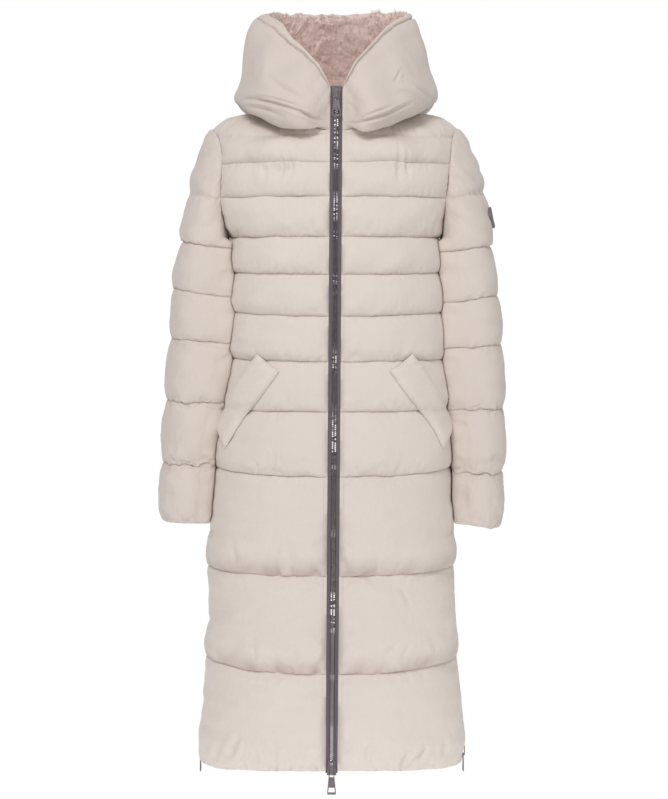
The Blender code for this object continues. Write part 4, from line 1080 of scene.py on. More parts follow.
for side in (RIGHT, LEFT):
    name = side_name(side)
    grid, lift, normals, angles = sleeve_grid(side)
    ring = np.concatenate([grid, grid[:, :1]], axis=1)
    girth = lengths(ring, 1)
    along = girth[:, :-1] / girth[:, -1:] * girth[:, -1:].mean()
    down = lengths(grid, 0)
    seams = [down[row] for row in RING_ROWS + [len(down) - 1]]
    sunk = np.zeros_like(along)
    for k, (seam, deep) in enumerate(zip(seams, SLEEVE_PUCKERS)):
        sunk += puckers(along, seam - down, 500 + 10 * k + side, spacing=8.5, reach=24, depth=deep)
    level, tilt, reach = CAP_SEAM
    to_cap = grid[..., 2] - level + (reach - np.abs(grid[..., 0])) * tilt
    sunk[: CAP_ROWS + 1] += puckers(
        along[: CAP_ROWS + 1], to_cap[: CAP_ROWS + 1], 570 + side, spacing=9, reach=20, depth=0.9
    )
    sunk += puckers(along, down, 580 + side, spacing=12, reach=26, depth=1.4)
    for crease in SLEEVE_FOLDS:
        sunk += fold(along, grid[..., 2], *crease)
    slow = np.clip(lift / 6, 0, 1) * lumps(along, grid[..., 2] * 1.4, 590 + side, 55.0, 1.2)
    inner_side = 1 - 0.8 * ease(0.2, 0.9, -np.cos(angles))[None, :]
    keep = dome(down, 12) * inner_side * dome(down[-1:] - down + 2, 10)
    sunk = (sunk - slow) * keep
    outer = grid + normals * (lift - sunk)[..., None]
    held = np.zeros(lift.shape, bool)
    held[[0, -1] + RING_ROWS] = True
    held[: CAP_ROWS] |= np.abs(to_cap[: CAP_ROWS]) < 1.5
    ring_part = np.tile(np.arange(1, BAFFLE_ROWS + 1) / BAFFLE_ROWS, SLEEVE_BAFFLES)
    part = np.concatenate([np.linspace(0, 1, CAP_ROWS + 1), ring_part])
    spare = spare_cloth(part[:, None] + 0 * down, along, grid[..., 2], 595 + side)
    spare = spare * (1 - 0.7 * ease(0.3, 0.9, -np.cos(angles))[None, :])
    spare = spare * (0.36 + 0.64 * ease(-300, -460, grid[..., 2]))
    outer = settle(outer, held, spare, 120 + side, growth=0.1, push=2.4, around=True)
    off_seam = np.min([np.abs(down - seam) for seam in seams[:-1]], axis=0)
    off_seam[: CAP_ROWS] = np.minimum(off_seam, np.abs(to_cap))[: CAP_ROWS]
    off_seam = np.minimum(off_seam, down)
    line = beside(off_seam, SEAM_LINE)
    outer = outer - normals * (SEAM_BITE * line * keep)[..., None]
    waver = dome(down, 40) * dome(down[-1:] - down, 25) * (0.8 + 1.2 * ease(-300, -480, grid[..., 2]))
    outer[..., 2] += waver * lumps(along, down, 597 + side, 40.0, 1.0)
    rested = rest_against(outer, side, body_trees[side])
    inner = grid - normals * (SEAM_WALL + lift * INNER_PUFF)[..., None] + 0.9 * (rested - outer)
    outer = rested
    wrap = float(girth[:, -1].mean())
    uv = np.stack([along, down], axis=-1)
    sleeve = padded_wall("quilted_sleeve_" + name, outer, inner, uv, SHELL, around=True, wrap=wrap)
    # Painted shade: the whole sleeve is darkened, and more along the ring seams, most in the lower part.
    line = line * (0.3 + 0.3 * ease(-250, -450, grid[..., 2]))
    mark(sleeve, "seam", 0.22 + line * (0.8 + 0.35 * lumps(along, down, 598 + side, 50.0, 1.0)))
    skins["sleeve_" + name] = outer
    STITCHED["sleeve_" + name] = RING_ROWS
    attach(sleeve, "coat")
    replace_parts(sleeve, "sleeve_" + name)

# ---------------------------------------------------------------- hood
# A deep hood in two padded halves, sewn to the neck and up the middle of the back. It stands open and
# rolls over at the neck, and its rim turns in as a soft rolled facing before the fur begins.
NECK_RISE = 0.7
NECK_SPRING = 16.0
HOOD = table(
    "turn roll_x roll_y roll_z belly_x belly_y belly_z upper_x upper_y upper_z rim_x rim_y rim_z",
    [
        (0.00, 9.8, -119, -8, 9.8, -122, 8, 9.8, -124, 26, 9.8, -125, 46),
        (0.15, 46, -133, -26, 52, -143, 2, 43, -137, 46, 29, -112, 84),
        (0.30, 84, -110, -21, 102, -122, 18, 92, -108, 74, 64, -74, 126),
        (0.40, 122, -70, 0, 142, -77, 28, 124, -66, 94, 94, -40, 156),
        (0.50, 142, 0, 21, 168, 0, 38, 154, 0, 92, 130, 0, 179),
        (0.62, 128, 66, 12, 160, 78, 34, 150, 78, 100, 125, 64, 187),
        (0.80, 76, 112, -20, 98, 160, 14, 98, 160, 98, 78, 118, 191),
        (1.00, 0, 138, -38, 0, 196, 10, 0, 196, 94, 0, 140, 192),
    ],
)
HOOD_SIDE_SCALE = {RIGHT: 0.995, LEFT: 1.035}
RIM_CURL = {RIGHT: 1.0, LEFT: 0.35}
RIM_INSET = 22.0
SHELL_WALL = table("place wall", [(0, 3.0), (1, 5.0), (2, 9.0), (3, 10.0), (4, 7.0)])
HOOD_COLUMNS = 160
HOOD_ROWS = 140
RIM_CROWD = 1.3
# The rolled facing stands proud behind one sharp crease; elsewhere the padding sinks a little.
CREASE_DEPTH = 3.4
CREASE_WIDTH = 1.7
FACING_PUFF = 2.4
HOOD_SINK = 2.0
LEAST_SHELL = 0.8
FOLD_SHARP = 0.62
# Width of the rolled facing along the rim, from the zip to the middle of the back.
FACING = {
    RIGHT: table("turn wide", [(0, 4), (0.15, 6), (0.28, 9), (0.42, 18), (0.5, 21), (0.62, 2)]),
    LEFT: table("turn wide", [(0, 4), (0.15, 5), (0.28, 6), (0.42, 8), (0.5, 8), (0.62, 2)]),
}


def neck_curve(turns):
    """The neck seam round half the hood, just above the body's own neck edge."""
    angle = np.where(turns < 0.5, turns, 1 - turns) * math.pi
    ahead = turns < 0.5
    start = np.where(ahead, ZIP_HALF + SEAM_GAP, 0.0)
    x = start + (NECK_HALF - start) * np.sin(angle)
    y = np.where(ahead, NECK_FRONT, NECK_BACK) * np.cos(angle)
    low = np.where(ahead, NECK_LOW, NECK_BACK_HEIGHT)
    z = low + (NECK_SIDE_HEIGHT - low) * np.sin(angle) ** 2
    return np.stack([x, y, z + NECK_RISE], axis=-1)


def hood_sheet(side, turns, places):
    """Outer skin of half the hood at places 0 (neck seam) to 4 (rim)."""
    guides = [neck_curve(turns)]
    for part in ("roll", "belly", "upper", "rim"):
        columns = [smooth(HOOD["turn"], HOOD[f"{part}_{axis}"], turns) for axis in "xyz"]
        guides.append(np.stack(columns, axis=-1))
    guides = np.array(guides)
    tangents = np.zeros_like(guides)
    tangents[1:-1] = (guides[2:] - guides[:-2]) / 2
    tangents[0] = guides[1] - guides[0]
    tangents[0, :, 2] += NECK_SPRING * ease(0.0, 0.15, turns)
    curl = RIM_CURL[side] * ease(0.3, 0.5, turns) * (1 - ease(0.66, 0.9, turns))
    guides[-1, :, 0] -= RIM_INSET * curl
    tangents[-2, :, 0] += 0.6 * RIM_INSET * curl
    tangents[-2, :, 2] += RIM_INSET * curl
    tangents[-1] = guides[-1] - guides[-2]
    tangents[-1, :, 0] -= 3.5 * RIM_INSET * curl
    tangents[-1, :, 2] -= 3.5 * RIM_INSET * curl
    sheet = []
    for place in places:
        k = min(int(place), 3)
        t = place - k
        sheet.append(
            guides[k] * (1 + 2 * t) * (1 - t) ** 2
            + tangents[k] * t * (1 - t) ** 2
            + guides[k + 1] * t * t * (3 - 2 * t)
            + tangents[k + 1] * t * t * (t - 1)
        )
    sheet = np.array(sheet)
    scale = HOOD_SIDE_SCALE[side]
    sheet[..., 0] *= 1 + (scale - 1) * ease(90, 140, sheet[..., 0])
    sheet[..., 0] += side * zip_line(sheet[..., 2]) * (1 - ease(0.0, 0.4, turns))
    sheet[:, -1, 0] = SEAM_GAP / 2
    sheet[..., 0] *= side
    return sheet


def hood_normals(sheet, side):
    """Outward normals of half the hood, level across at the zip and at the middle of the back."""
    normals = cross_normals(sheet) * (1 if side == LEFT else -1)
    normals[:, (0, -1), 0] = 0
    return unit(normals)


# Folds of each half, as (sideways, height) of start, middle and end, seen from the front.
HOOD_FOLDS = {
    RIGHT: [
        ((-146, 30), (-100, 20), (-14, -12), 4.5, 4.6),
        ((-132, 32), (-96, 26), (-22, -1), 3.5, 2.6),
        ((-58, 8), (-38, -4), (-12, -14), 3.5, 3.0),
        ((-140, 18), (-112, 8), (-80, -4), 5, 2.2),
        ((-108, 70), (-84, 44), (-44, 22), 8, 1.6),
        ((-128, 60), (-120, 84), (-122, 110), 8, 1.6),
    ],
    LEFT: [
        ((18, -17), (70, -4), (124, 21), 4.5, 4.6),
        ((36, -10), (62, 2), (92, 14), 3.5, 2.8),
        ((98, 54), (101, 62), (108, 78), 3.5, 2.6),
        ((104, 40), (122, 36), (150, 20), 5, 2.6),
        ((128, 54), (146, 42), (164, 30), 4, 2.8),
        ((112, 100), (126, 84), (132, 60), 8, 1.6),
    ],
}
LINING_BACK = {}
for side in (RIGHT, LEFT):
    name = side_name(side)
    turns = np.linspace(0, 1, HOOD_COLUMNS)
    places = 4 * (1 - np.linspace(1, 0, HOOD_ROWS) ** RIM_CROWD)
    sheet = hood_sheet(side, turns, places)
    normals = hood_normals(sheet, side)
    wall = smooth(SHELL_WALL["place"], SHELL_WALL["wall"], places)[:, None, None]
    front = 0.35 + 0.65 * ease(0.0, 0.15, turns)[None, :, None]
    along = lengths(sheet, 1)
    up = lengths(sheet, 0)
    seen = ease(60, 20, sheet[..., 1])
    sunk = np.zeros(sheet.shape[:2])
    for *line, width, deep in HOOD_FOLDS[side]:
        sunk += fold(sheet[..., 0], sheet[..., 2], *line, width * FOLD_SHARP, deep) * seen
        sunk -= fold(sheet[..., 0], sheet[..., 2] - 8, *line, 7, deep * 0.5, lip=0) * seen
    sunk += puckers(along, up, 600 + side, spacing=12, reach=30, depth=2.0)
    sunk += puckers(along, up[-1:] - up, 610 + side, spacing=14, reach=26, depth=1.2)
    sunk += puckers(up.T, (along[:, -1:] - along).T, 620 + side, spacing=13, reach=26, depth=1.4).T
    sunk += puckers(up.T, along.T, 630 + side, spacing=12, reach=20, depth=0.9).T
    sunk -= lumps(along, up, 640 + side, 90.0, 1.6)
    sunk -= lumps(along, up, 645 + side, 42.0, 1.6) * ease(75, 30, up)
    edge = np.minimum(along, along[:, -1:] - along)
    keep = dome(edge, 9) * dome(up, 8) * dome(up[-1:] - up + 3, 10)
    from_rim = up[-1:] - up
    wide = smooth(FACING[side]["turn"], FACING[side]["wide"], turns)
    wide = wide * (1 + 0.10 * lumps(along[-1], along[-1] * 0, 650 + side, 40, 1.0))
    has_facing = ease(2.0, 5.0, wide)
    crease = CREASE_DEPTH * beside(from_rim - wide, CREASE_WIDTH) * has_facing
    bulge = FACING_PUFF * dome(np.abs(from_rim - wide), 7) * has_facing * ease(44, 20, from_rim)
    thick = wall * front
    stand = np.maximum(bulge - HOOD_SINK - sunk * keep - crease, LEAST_SHELL - thick[..., 0])
    outer = sheet + normals * (stand * dome(edge, 6))[..., None]
    inner = sheet - normals * thick
    uv = np.stack([along, up], axis=-1)
    hood = padded_wall("quilted_hood_" + name, outer, inner, uv, SHELL, thin=2)
    # Painted shade: the whole hood is darkened, and more along the facing's crease.
    mark(hood, "seam", 0.36 + 0.4 * beside(from_rim - wide, 1.4) * has_facing)
    LINING_BACK[side] = (sheet, normals, thick, turns, places)
    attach(hood, "coat")
    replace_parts(hood, "hood_" + name)

# ---------------------------------------------------------------- fur lining of the hood
# Dusty pink faux fur on a knitted backing lines each half from the neck to the facing. The pile is
# dense and soft, about a finger thick, lies in swirls and parts in lines darkened with painted shade.
PILE = 9.0
FUR_LOW = 0.4
BACKING_GAP = 0.5
BACKING_THICK = 1.0
PARTING_WIDTH = 0.22
PARTING_DEPTH = 3.2
LOCK_HEIGHT = 1.7
FUR_COLUMNS = 150
FUR_ROWS = 130
OVER_RIM = 9.0
BARE_ROWS = FUR_ROWS // 5
TUFTS_PER_METRE = 25500.0
TUFT_LEAN = 1.25


def fur_finish(name, light, dark, painted_light):
    """Fine streaks in a random tone that follow a wandering direction, painted shade in the partings, and
    painted light.
    """
    fur = Finish(name, 0.85, Sheen_Weight=0.6, Sheen_Roughness=0.4)
    place = fur.node("ShaderNodeTexCoord", out=3)
    drift = fur.noise(place, 22.0, 2.0)
    streak = fur.noise(fur.stretched(place, (260.0, 260.0, 60.0)), 1.0, 4.0, 0.65, 1.6)
    tone = fur.node(
        "ShaderNodeMapRange", {}, {"Value": streak + drift * 0.35, "From Min": 0.42, "From Max": 0.86}
    )
    parting = fur.node("ShaderNodeAttribute", {"attribute_name": "parting"}, out=2)
    colour = fur.mix(tone, dark, light)
    # Painted shade: the colour darkens in the partings.
    colour = fur.mix(parting * 0.6, colour, linear(204, 166, 160))
    nap = fur.bump(streak, 0.004, 0.7)
    # Painted light: the fur's colour is also emitted, so that its shaded depths read paler.
    fur.shader.inputs["Emission Strength"].default_value = painted_light
    return fur.feed(Base_Color=colour, Emission_Color=colour, Normal=nap)


# Painted light: both fur finishes emit light, and the hairs' finish is paler and emits more than the
# backing's.
FUR = fur_finish("pink_fur", linear(228, 207, 200), linear(204, 180, 173), 0.16)
FUR_HAIRS_PAINTED_LIGHT = fur_finish("pink_fur_hairs_painted_light", linear(234, 215, 208), linear(210, 188, 181), 0.27)


def make_tuft():
    """One tuft: six fine bent hairs that spread from a shared root."""
    rng = np.random.default_rng(7)
    verts = []
    faces = []
    for hair in range(6):
        turn = hair * 1.05 + rng.uniform(-0.3, 0.3)
        spread = rng.uniform(0.06, 0.22)
        long = rng.uniform(6.5, 9.5)
        root = np.array([math.cos(turn), math.sin(turn), 0]) * rng.uniform(0.4, 2.2)
        aim = np.array([math.cos(turn) * spread, math.sin(turn) * spread + 0.18, 1.0])
        first = len(verts)
        for t, thick in ((0.0, 0.3), (0.55, 0.22)):
            middle = root + aim * long * t + np.array([0, 0.8, 0]) * t * t
            for k in range(3):
                a = turn + k * 2 * math.pi / 3
                verts.append(middle + np.array([math.cos(a), math.sin(a), 0]) * thick)
        verts.append(root + aim * long + np.array([0, 1.2, -0.4]))
        for k in range(3):
            n = (k + 1) % 3
            faces.append((first + k, first + n, first + 3 + n, first + 3 + k))
            faces.append((first + 3 + k, first + 3 + n, first + 6))
        faces.append((first + 2, first + 1, first))
    mesh = bpy.data.meshes.new("tuft")
    mesh.from_pydata((np.array(verts) * MM).tolist(), [], faces)
    mesh.shade_smooth()
    return bpy.data.objects.new("tuft", mesh)


class Tree:
    """A Geometry Nodes tree being made: named inputs, then nodes joined as they are added."""

    def __init__(self, name, **entries):
        self.tree = bpy.data.node_groups.new(name, "GeometryNodeTree")
        self.tree.interface.new_socket("Geometry", in_out="INPUT", socket_type="NodeSocketGeometry")
        self.ids = {}
        for label, kind in entries.items():
            socket = self.tree.interface.new_socket(label, in_out="INPUT", socket_type="NodeSocket" + kind)
            self.ids[label] = socket.identifier
        self.tree.interface.new_socket("Geometry", in_out="OUTPUT", socket_type="NodeSocketGeometry")
        self.start = self.tree.nodes.new("NodeGroupInput")

    def entry(self, label):
        """The socket of a named input."""
        return self.start.outputs[label]

    def node(self, kind, settings=None, sockets=None, out=0):
        """Adds a node, sets it, joins or fills its sockets, and gives one of its results."""
        added = self.tree.nodes.new(kind)
        for name, value in (settings or {}).items():
            setattr(added, name, value)
        for name, value in (sockets or {}).items():
            if isinstance(value, bpy.types.NodeSocket):
                self.tree.links.new(value, added.inputs[name])
            else:
                added.inputs[name].default_value = value
        return added.outputs[out]

    def end(self, instances, finish):
        """Real geometry with its finish, as the tree's result."""
        real = self.node("GeometryNodeRealizeInstances", {}, {0: instances})
        dressed = self.node("GeometryNodeSetMaterial", {}, {"Geometry": real, "Material": finish})
        result = self.tree.nodes.new("NodeGroupOutput")
        self.tree.links.new(dressed, result.inputs[0])
        return self


def grow(name, base, tree, **values):
    """The plain mesh object that a tree makes on a mesh."""
    modifier = base.modifiers.new("grow", "NODES")
    modifier.node_group = tree.tree
    for label, value in values.items():
        modifier[tree.ids[label]] = value
    seen = base.evaluated_get(bpy.context.evaluated_depsgraph_get())
    mesh = bpy.data.meshes.new_from_object(seen)
    base.modifiers.remove(modifier)
    mesh.name = name
    piece = bpy.data.objects.new(name, mesh)
    bpy.context.scene.collection.objects.link(piece)
    return piece


def fur_tree(finish):
    """Tufts scattered over a surface, each turned by a slow swirl and laid over to one side."""
    tree = Tree("fur_tufts", Tuft="Object", Density="Float", Seed="Int", Lean="Float")
    spots = tree.tree.nodes.new("GeometryNodeDistributePointsOnFaces")
    tree.tree.links.new(tree.entry("Geometry"), spots.inputs["Mesh"])
    tree.tree.links.new(tree.entry("Density"), spots.inputs["Density"])
    tree.tree.links.new(tree.entry("Seed"), spots.inputs["Seed"])
    place = tree.node("GeometryNodeInputPosition")
    noise = tree.node("ShaderNodeTexNoise", {}, {"Vector": place, "Scale": 14.0, "Detail": 1.0})
    turn = tree.node("ShaderNodeMath", {"operation": "MULTIPLY"}, {0: noise, 1: 9.0})
    swirl = tree.node("FunctionNodeAxisAngleToRotation", {}, {"Axis": (0, 0, 1), "Angle": turn})
    chance = tree.node(
        "FunctionNodeRandomValue", {"data_type": "FLOAT"}, {2: -0.25, 3: 0.25, "Seed": 3}, out=1
    )
    lean = tree.node("ShaderNodeMath", {"operation": "ADD"}, {0: tree.entry("Lean"), 1: chance})
    tilt = tree.node("FunctionNodeAxisAngleToRotation", {}, {"Axis": (1, 0, 0), "Angle": lean})
    turned = tree.node(
        "FunctionNodeRotateRotation", {"rotation_space": "LOCAL"},
        {0: spots.outputs["Rotation"], 1: swirl},
    )
    laid = tree.node("FunctionNodeRotateRotation", {"rotation_space": "LOCAL"}, {0: turned, 1: tilt})
    grown = tree.node(
        "FunctionNodeRandomValue", {"data_type": "FLOAT"}, {2: 0.7, 3: 1.25, "Seed": 5}, out=1
    )
    tuft = tree.node(
        "GeometryNodeObjectInfo", {"transform_space": "ORIGINAL"}, {"Object": tree.entry("Tuft")}, out=4
    )
    planted = tree.node(
        "GeometryNodeInstanceOnPoints", {},
        {"Points": spots.outputs["Points"], "Instance": tuft, "Rotation": laid, "Scale": grown},
    )
    return tree.end(planted, finish)


tuft = make_tuft()
tufts = fur_tree(FUR_HAIRS_PAINTED_LIGHT)
for side in (RIGHT, LEFT):
    name = side_name(side)
    sheet, normals, wall, turns, places = LINING_BACK[side]
    fur_turns = np.linspace(0.05, 1.0, FUR_COLUMNS)
    top = 3.93 + 0.07 * ease(0.46, 0.56, fur_turns)
    q = np.linspace(0, 1, FUR_ROWS)[:, None]
    want = FUR_LOW + q * (top[None, :] - FUR_LOW)
    column = np.interp(fur_turns, turns, np.arange(len(turns)))

    def on_sheet(values):
        """Values of the hood's grid at the fur's own places."""
        by_turn = np.array([
            [np.interp(column, np.arange(len(turns)), row[:, k]) for k in range(values.shape[2])]
            for row in values
        ])
        index = np.interp(want, places, np.arange(len(places)))
        low = np.clip(index.astype(int), 0, len(places) - 2)
        part = index - low
        c = np.arange(FUR_COLUMNS)[None, :]
        by_turn = by_turn.transpose(0, 2, 1)
        below = by_turn[low, c]
        above = by_turn[low + 1, c]
        return below * (1 - part[..., None]) + above * part[..., None]

    base = on_sheet(sheet)
    face_out = unit(on_sheet(normals))
    thick = on_sheet(np.broadcast_to(wall, (len(places), len(turns), 1)).copy())
    back = base - face_out * (thick + BACKING_GAP)
    a = lengths(base, 1)
    b = lengths(base, 0)
    warp_a = a + lumps(a, b, 710, 60, 9.0)
    warp_b = b + lumps(a, b, 711, 60, 9.0)
    lock = lumps(warp_a, warp_b * 0.8, 712 + side, 26.0, 1.0)
    curl = lumps(warp_a, warp_b, 715 + side, 11.0, 1.0)
    parting = beside(lock, PARTING_WIDTH) * ease(-0.2, 0.9, lumps(a, b, 718 + side, 70, 1.0))
    pile = PILE * (0.55 + 0.45 * ease(0.5, 2.0, want))
    pile = pile + LOCK_HEIGHT * lock + 0.8 * curl - PARTING_DEPTH * parting
    edge = dome(a[:, -1:] - a + 4, 8) * dome(b[-1:] - b, 12) * dome(b, 12) * dome(a, 12)
    over = ease(0.88, 1.0, q) * ease(0.46, 0.60, fur_turns)[None, :]
    face = back - face_out * (BACKING_THICK + pile * edge)[..., None]
    lift_up = (OVER_RIM + 2.5 * lumps(a, b, 719, 30, 1.0)) * over
    face[..., 2] += lift_up
    back = back + face_out * (over * 3.0)[..., None]
    back[..., 2] += lift_up * 0.9
    uv = np.stack([a, b], axis=-1)
    lining = padded_wall("fur_backing_" + name, face, back, uv, FUR, thin=4)
    mark(lining, "parting", parting)
    inside = bpy.data.meshes.new("fur_face")
    planted = grid_faces(FUR_ROWS, FUR_COLUMNS, 0, BARE_ROWS)
    planted = [corners for corners in planted if corners[0] % FUR_COLUMNS > 0]
    if side == LEFT:
        planted = [corners[::-1] for corners in planted]
    inside.from_pydata((face.reshape(-1, 3) * MM).tolist(), [], planted)
    fur_face = bpy.data.objects.new("fur_face", inside)
    bpy.context.scene.collection.objects.link(fur_face)
    hairs = grow(
        "fur_tufts_" + name, fur_face, tufts, Tuft=tuft, Density=TUFTS_PER_METRE, Seed=11, Lean=TUFT_LEAN
    )
    bpy.data.objects.remove(fur_face)
    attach(lining, "coat")
    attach(hairs, "coat")
    area = float(np.sum(np.linalg.norm(np.cross(
        (base[1:, :-1] - base[:-1, :-1]), (base[:-1, 1:] - base[:-1, :-1])), axis=-1))) * MM * MM
    "quilted_hood_" + name
    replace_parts(lining, "fur_lining_" + name)
bpy.data.objects.remove(tuft)

# ---------------------------------------------------------------- front zip
# A two-way zip with moulded dark teeth runs from the hem into the hood's opening, on two woven tapes
# sewn just behind the edges of the fronts. The metal sliders and their tabs are the CAD's own.
ZIP_TOP = 46.0
ZIP_BOTTOM = -1034.0
CHAIN_HALF = 4.0
TAPE_SINK = 0.8
TAPE_THICK = 1.2
TOOTH_PITCH = 3.1
TAPE_NEAR = 2.4
TOP_SLIDER_LOW = 26.0
BOTTOM_SLIDER_HIGH = -1015.0


def tape_finish():
    """Dark plum grey woven tape, ribbed along its length beside the teeth."""
    tape = Finish("zip_tape", 0.8, Sheen_Weight=0.2)
    thread = tape.node("ShaderNodeUVMap", {"uv_map": "cloth"})
    rib = tape.node("ShaderNodeTexWave", {"bands_direction": "X"}, {"Vector": thread, "Scale": 330.0})
    pick = tape.node("ShaderNodeTexWave", {"bands_direction": "Y"}, {"Vector": thread, "Scale": 420.0})
    speck = tape.noise(tape.node("ShaderNodeTexCoord", out=3), 700.0, 2.0)
    colour = tape.mix(speck * 0.7 + rib * 0.2, linear(88, 77, 83), linear(118, 107, 113))
    return tape.feed(Base_Color=colour, Normal=tape.bump(rib * pick, 0.0003, 0.6))


def metal_finish(name, light, dark, rough):
    """Dark burnished metal: a fine brushed tone, and a cloudy tone that also varies its roughness."""
    metal = Finish(name, rough, 0.85)
    place = metal.node("ShaderNodeTexCoord", out=3)
    cloud = metal.noise(place, 160.0, 3.0)
    brush = metal.noise(metal.stretched(place, (1500.0, 1500.0, 180.0)), 1.0, 2.0)
    colour = metal.mix(cloud * 0.7 + brush * 0.4, dark, light)
    return metal.feed(
        Base_Color=colour, Roughness=cloud * 0.25 + (rough - 0.1), Normal=metal.bump(brush, 0.00005, 0.5)
    )


TAPE = tape_finish()
METAL = metal_finish("dark_metal", linear(152, 144, 148), linear(100, 92, 98), 0.34)


def teeth_finish():
    """Glossy plum grey moulded teeth with painted highlights: uneven white patches that also emit light."""
    teeth = Finish("zip_teeth", 0.42, 0.1)
    place = teeth.node("ShaderNodeTexCoord", out=3)
    patch = teeth.noise(teeth.stretched(place, (0.0, 0.0, 11.0)), 1.0, 2.0, 0.6)
    patch = teeth.node("ShaderNodeMapRange", {}, {"Value": patch, "From Min": 0.5, "From Max": 0.57})
    fleck = teeth.noise(teeth.stretched(place, (60.0, 60.0, 300.0)), 1.0, 0.0)
    fleck = teeth.node("ShaderNodeMapRange", {}, {"Value": fleck, "From Min": 0.48, "From Max": 0.53})
    colour = teeth.mix(fleck * 0.3, linear(84, 75, 82), linear(126, 117, 124))
    root = teeth.node("ShaderNodeAttribute", {"attribute_name": "root"}, out=2)
    # Painted highlights: white patches near the teeth's roots, put into the colour and emitted.
    painted_highlight = patch * fleck * root
    painted_glint = teeth.mix(painted_highlight, linear(16, 13, 16), linear(255, 250, 252))
    colour = teeth.mix(painted_highlight, colour, linear(250, 247, 250))
    teeth.shader.inputs["Emission Strength"].default_value = 0.9
    return teeth.feed(Base_Color=colour, Roughness=0.56 - patch * 0.2, Emission_Color=painted_glint)


TEETH = teeth_finish()


def dress(node, finish):
    """Gives a CAD node that stays its own finish."""
    for spot in frame["nodes"][node].material_slots:
        spot.material = finish


def strip(name, centre, out, near, far, front, thick, columns, finish):
    """A closed strip that follows a line: reach across from near to far, and depth behind the line."""
    across = np.cross((0.0, 0.0, 1.0), out)
    places = np.linspace(near, far, columns)
    face = centre[:, None] + across * places[None, :, None] - np.asarray(out) * front
    back = face - np.asarray(out) * thick
    uv = np.stack(np.broadcast_arrays(places[None, :], lengths(centre[:, None], 0)), axis=-1)
    return padded_wall(name, face, back, uv, finish, thin=1)


def make_tooth():
    """One moulded tooth: a rounded head on a neck, bevelled, lying across the chain with its root at 0."""
    outline = [
        (-0.2, -0.62), (1.5, -0.62), (2.2, -0.85), (3.1, -1.1), (3.75, -0.75), (4.0, 0.0),
        (3.75, 0.75), (3.1, 1.1), (2.2, 0.85), (1.5, 0.62), (-0.2, 0.62),
    ]
    verts = []
    for level, shrink in ((0.0, 1.0), (1.9, 1.0), (2.5, 0.72)):
        for x, z in outline:
            verts.append((1.9 + (x - 1.9) * shrink, level, z * shrink))
    count = len(outline)
    faces = []
    for low in (0, count):
        high = low + count
        for k in range(count):
            n = (k + 1) % count
            faces.append((low + k, high + k, high + n, low + n))
    faces.append(tuple(range(count)))
    faces.append(tuple(2 * count + k for k in range(count))[::-1])
    mesh = bpy.data.meshes.new("tooth")
    mesh.from_pydata((np.array(verts) * (MM, -MM, MM)).tolist(), [], [face[::-1] for face in faces])
    # The root mark says where the teeth's painted highlights may fall.
    root = mesh.attributes.new("root", "FLOAT", "POINT")
    root.data.foreach_set("value", [1.0 if 0.6 < x < 2.4 else 0.0 for x, _, _ in verts])
    return bpy.data.objects.new("tooth", mesh)


def repeat_tree(name, finish):
    """Copies of one piece at equal steps along a line, turned by the angle given at each point."""
    tree = Tree(name, Piece="Object")
    spots = tree.node("GeometryNodeMeshToPoints", {}, {"Mesh": tree.entry("Geometry")})
    turn = tree.node("GeometryNodeInputNamedAttribute", {"data_type": "FLOAT_VECTOR"}, {"Name": "turn"})
    piece = tree.node(
        "GeometryNodeObjectInfo", {"transform_space": "ORIGINAL"}, {"Object": tree.entry("Piece")}, out=4
    )
    rotation = tree.node("FunctionNodeEulerToRotation", {}, {0: turn})
    placed = tree.node(
        "GeometryNodeInstanceOnPoints", {}, {"Points": spots, "Instance": piece, "Rotation": rotation}
    )
    return tree.end(placed, finish)


def repeated(name, piece, places, turns, tree):
    """A plain mesh with a copy of a piece at each place."""
    dots = bpy.data.meshes.new("places")
    dots.from_pydata((np.asarray(places) * MM).tolist(), [], [])
    marks = dots.attributes.new("turn", "FLOAT_VECTOR", "POINT")
    marks.data.foreach_set("vector", np.asarray(turns, np.float32).ravel())
    base = bpy.data.objects.new("places", dots)
    bpy.context.scene.collection.objects.link(base)
    made = grow(name, base, tree, Piece=piece)
    bpy.data.objects.remove(base)
    return made


def teeth_along(name, centre, out, low, high):
    """Two interlocked rows of teeth along a line between two heights, plum grey and glossy."""
    places = []
    turns = []
    facing = math.atan2(out[1], out[0]) + math.pi / 2
    across = np.cross((0.0, 0.0, 1.0), out)
    levels = np.arange(low + 1.2, high - 1.0, TOOTH_PITCH / 2)
    for k, level in enumerate(levels):
        hand = 1 if k % 2 else -1
        spot = np.array([np.interp(level, centre[:, 2], centre[:, n]) for n in range(3)])
        spot = spot - across * CHAIN_HALF * 0.98 * hand - np.asarray(out) * (TAPE_SINK + 0.55)
        places.append(spot)
        turns.append((0.0, 0.0 if hand == 1 else math.pi, facing))
    return repeated(name, tooth, places, turns, teeth_tree)


def sew_tape(name, line, out, sign, columns, rests_on, node):
    """One woven tape beside a chain, out to the seam that holds it, in place of its CAD node."""
    ends = sorted((sign * TAPE_NEAR, sign * ZIP_HALF))
    tape = strip(name, line, out, *ends, TAPE_SINK, TAPE_THICK, columns, TAPE)
    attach(tape, "coat")
    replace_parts(tape, node)


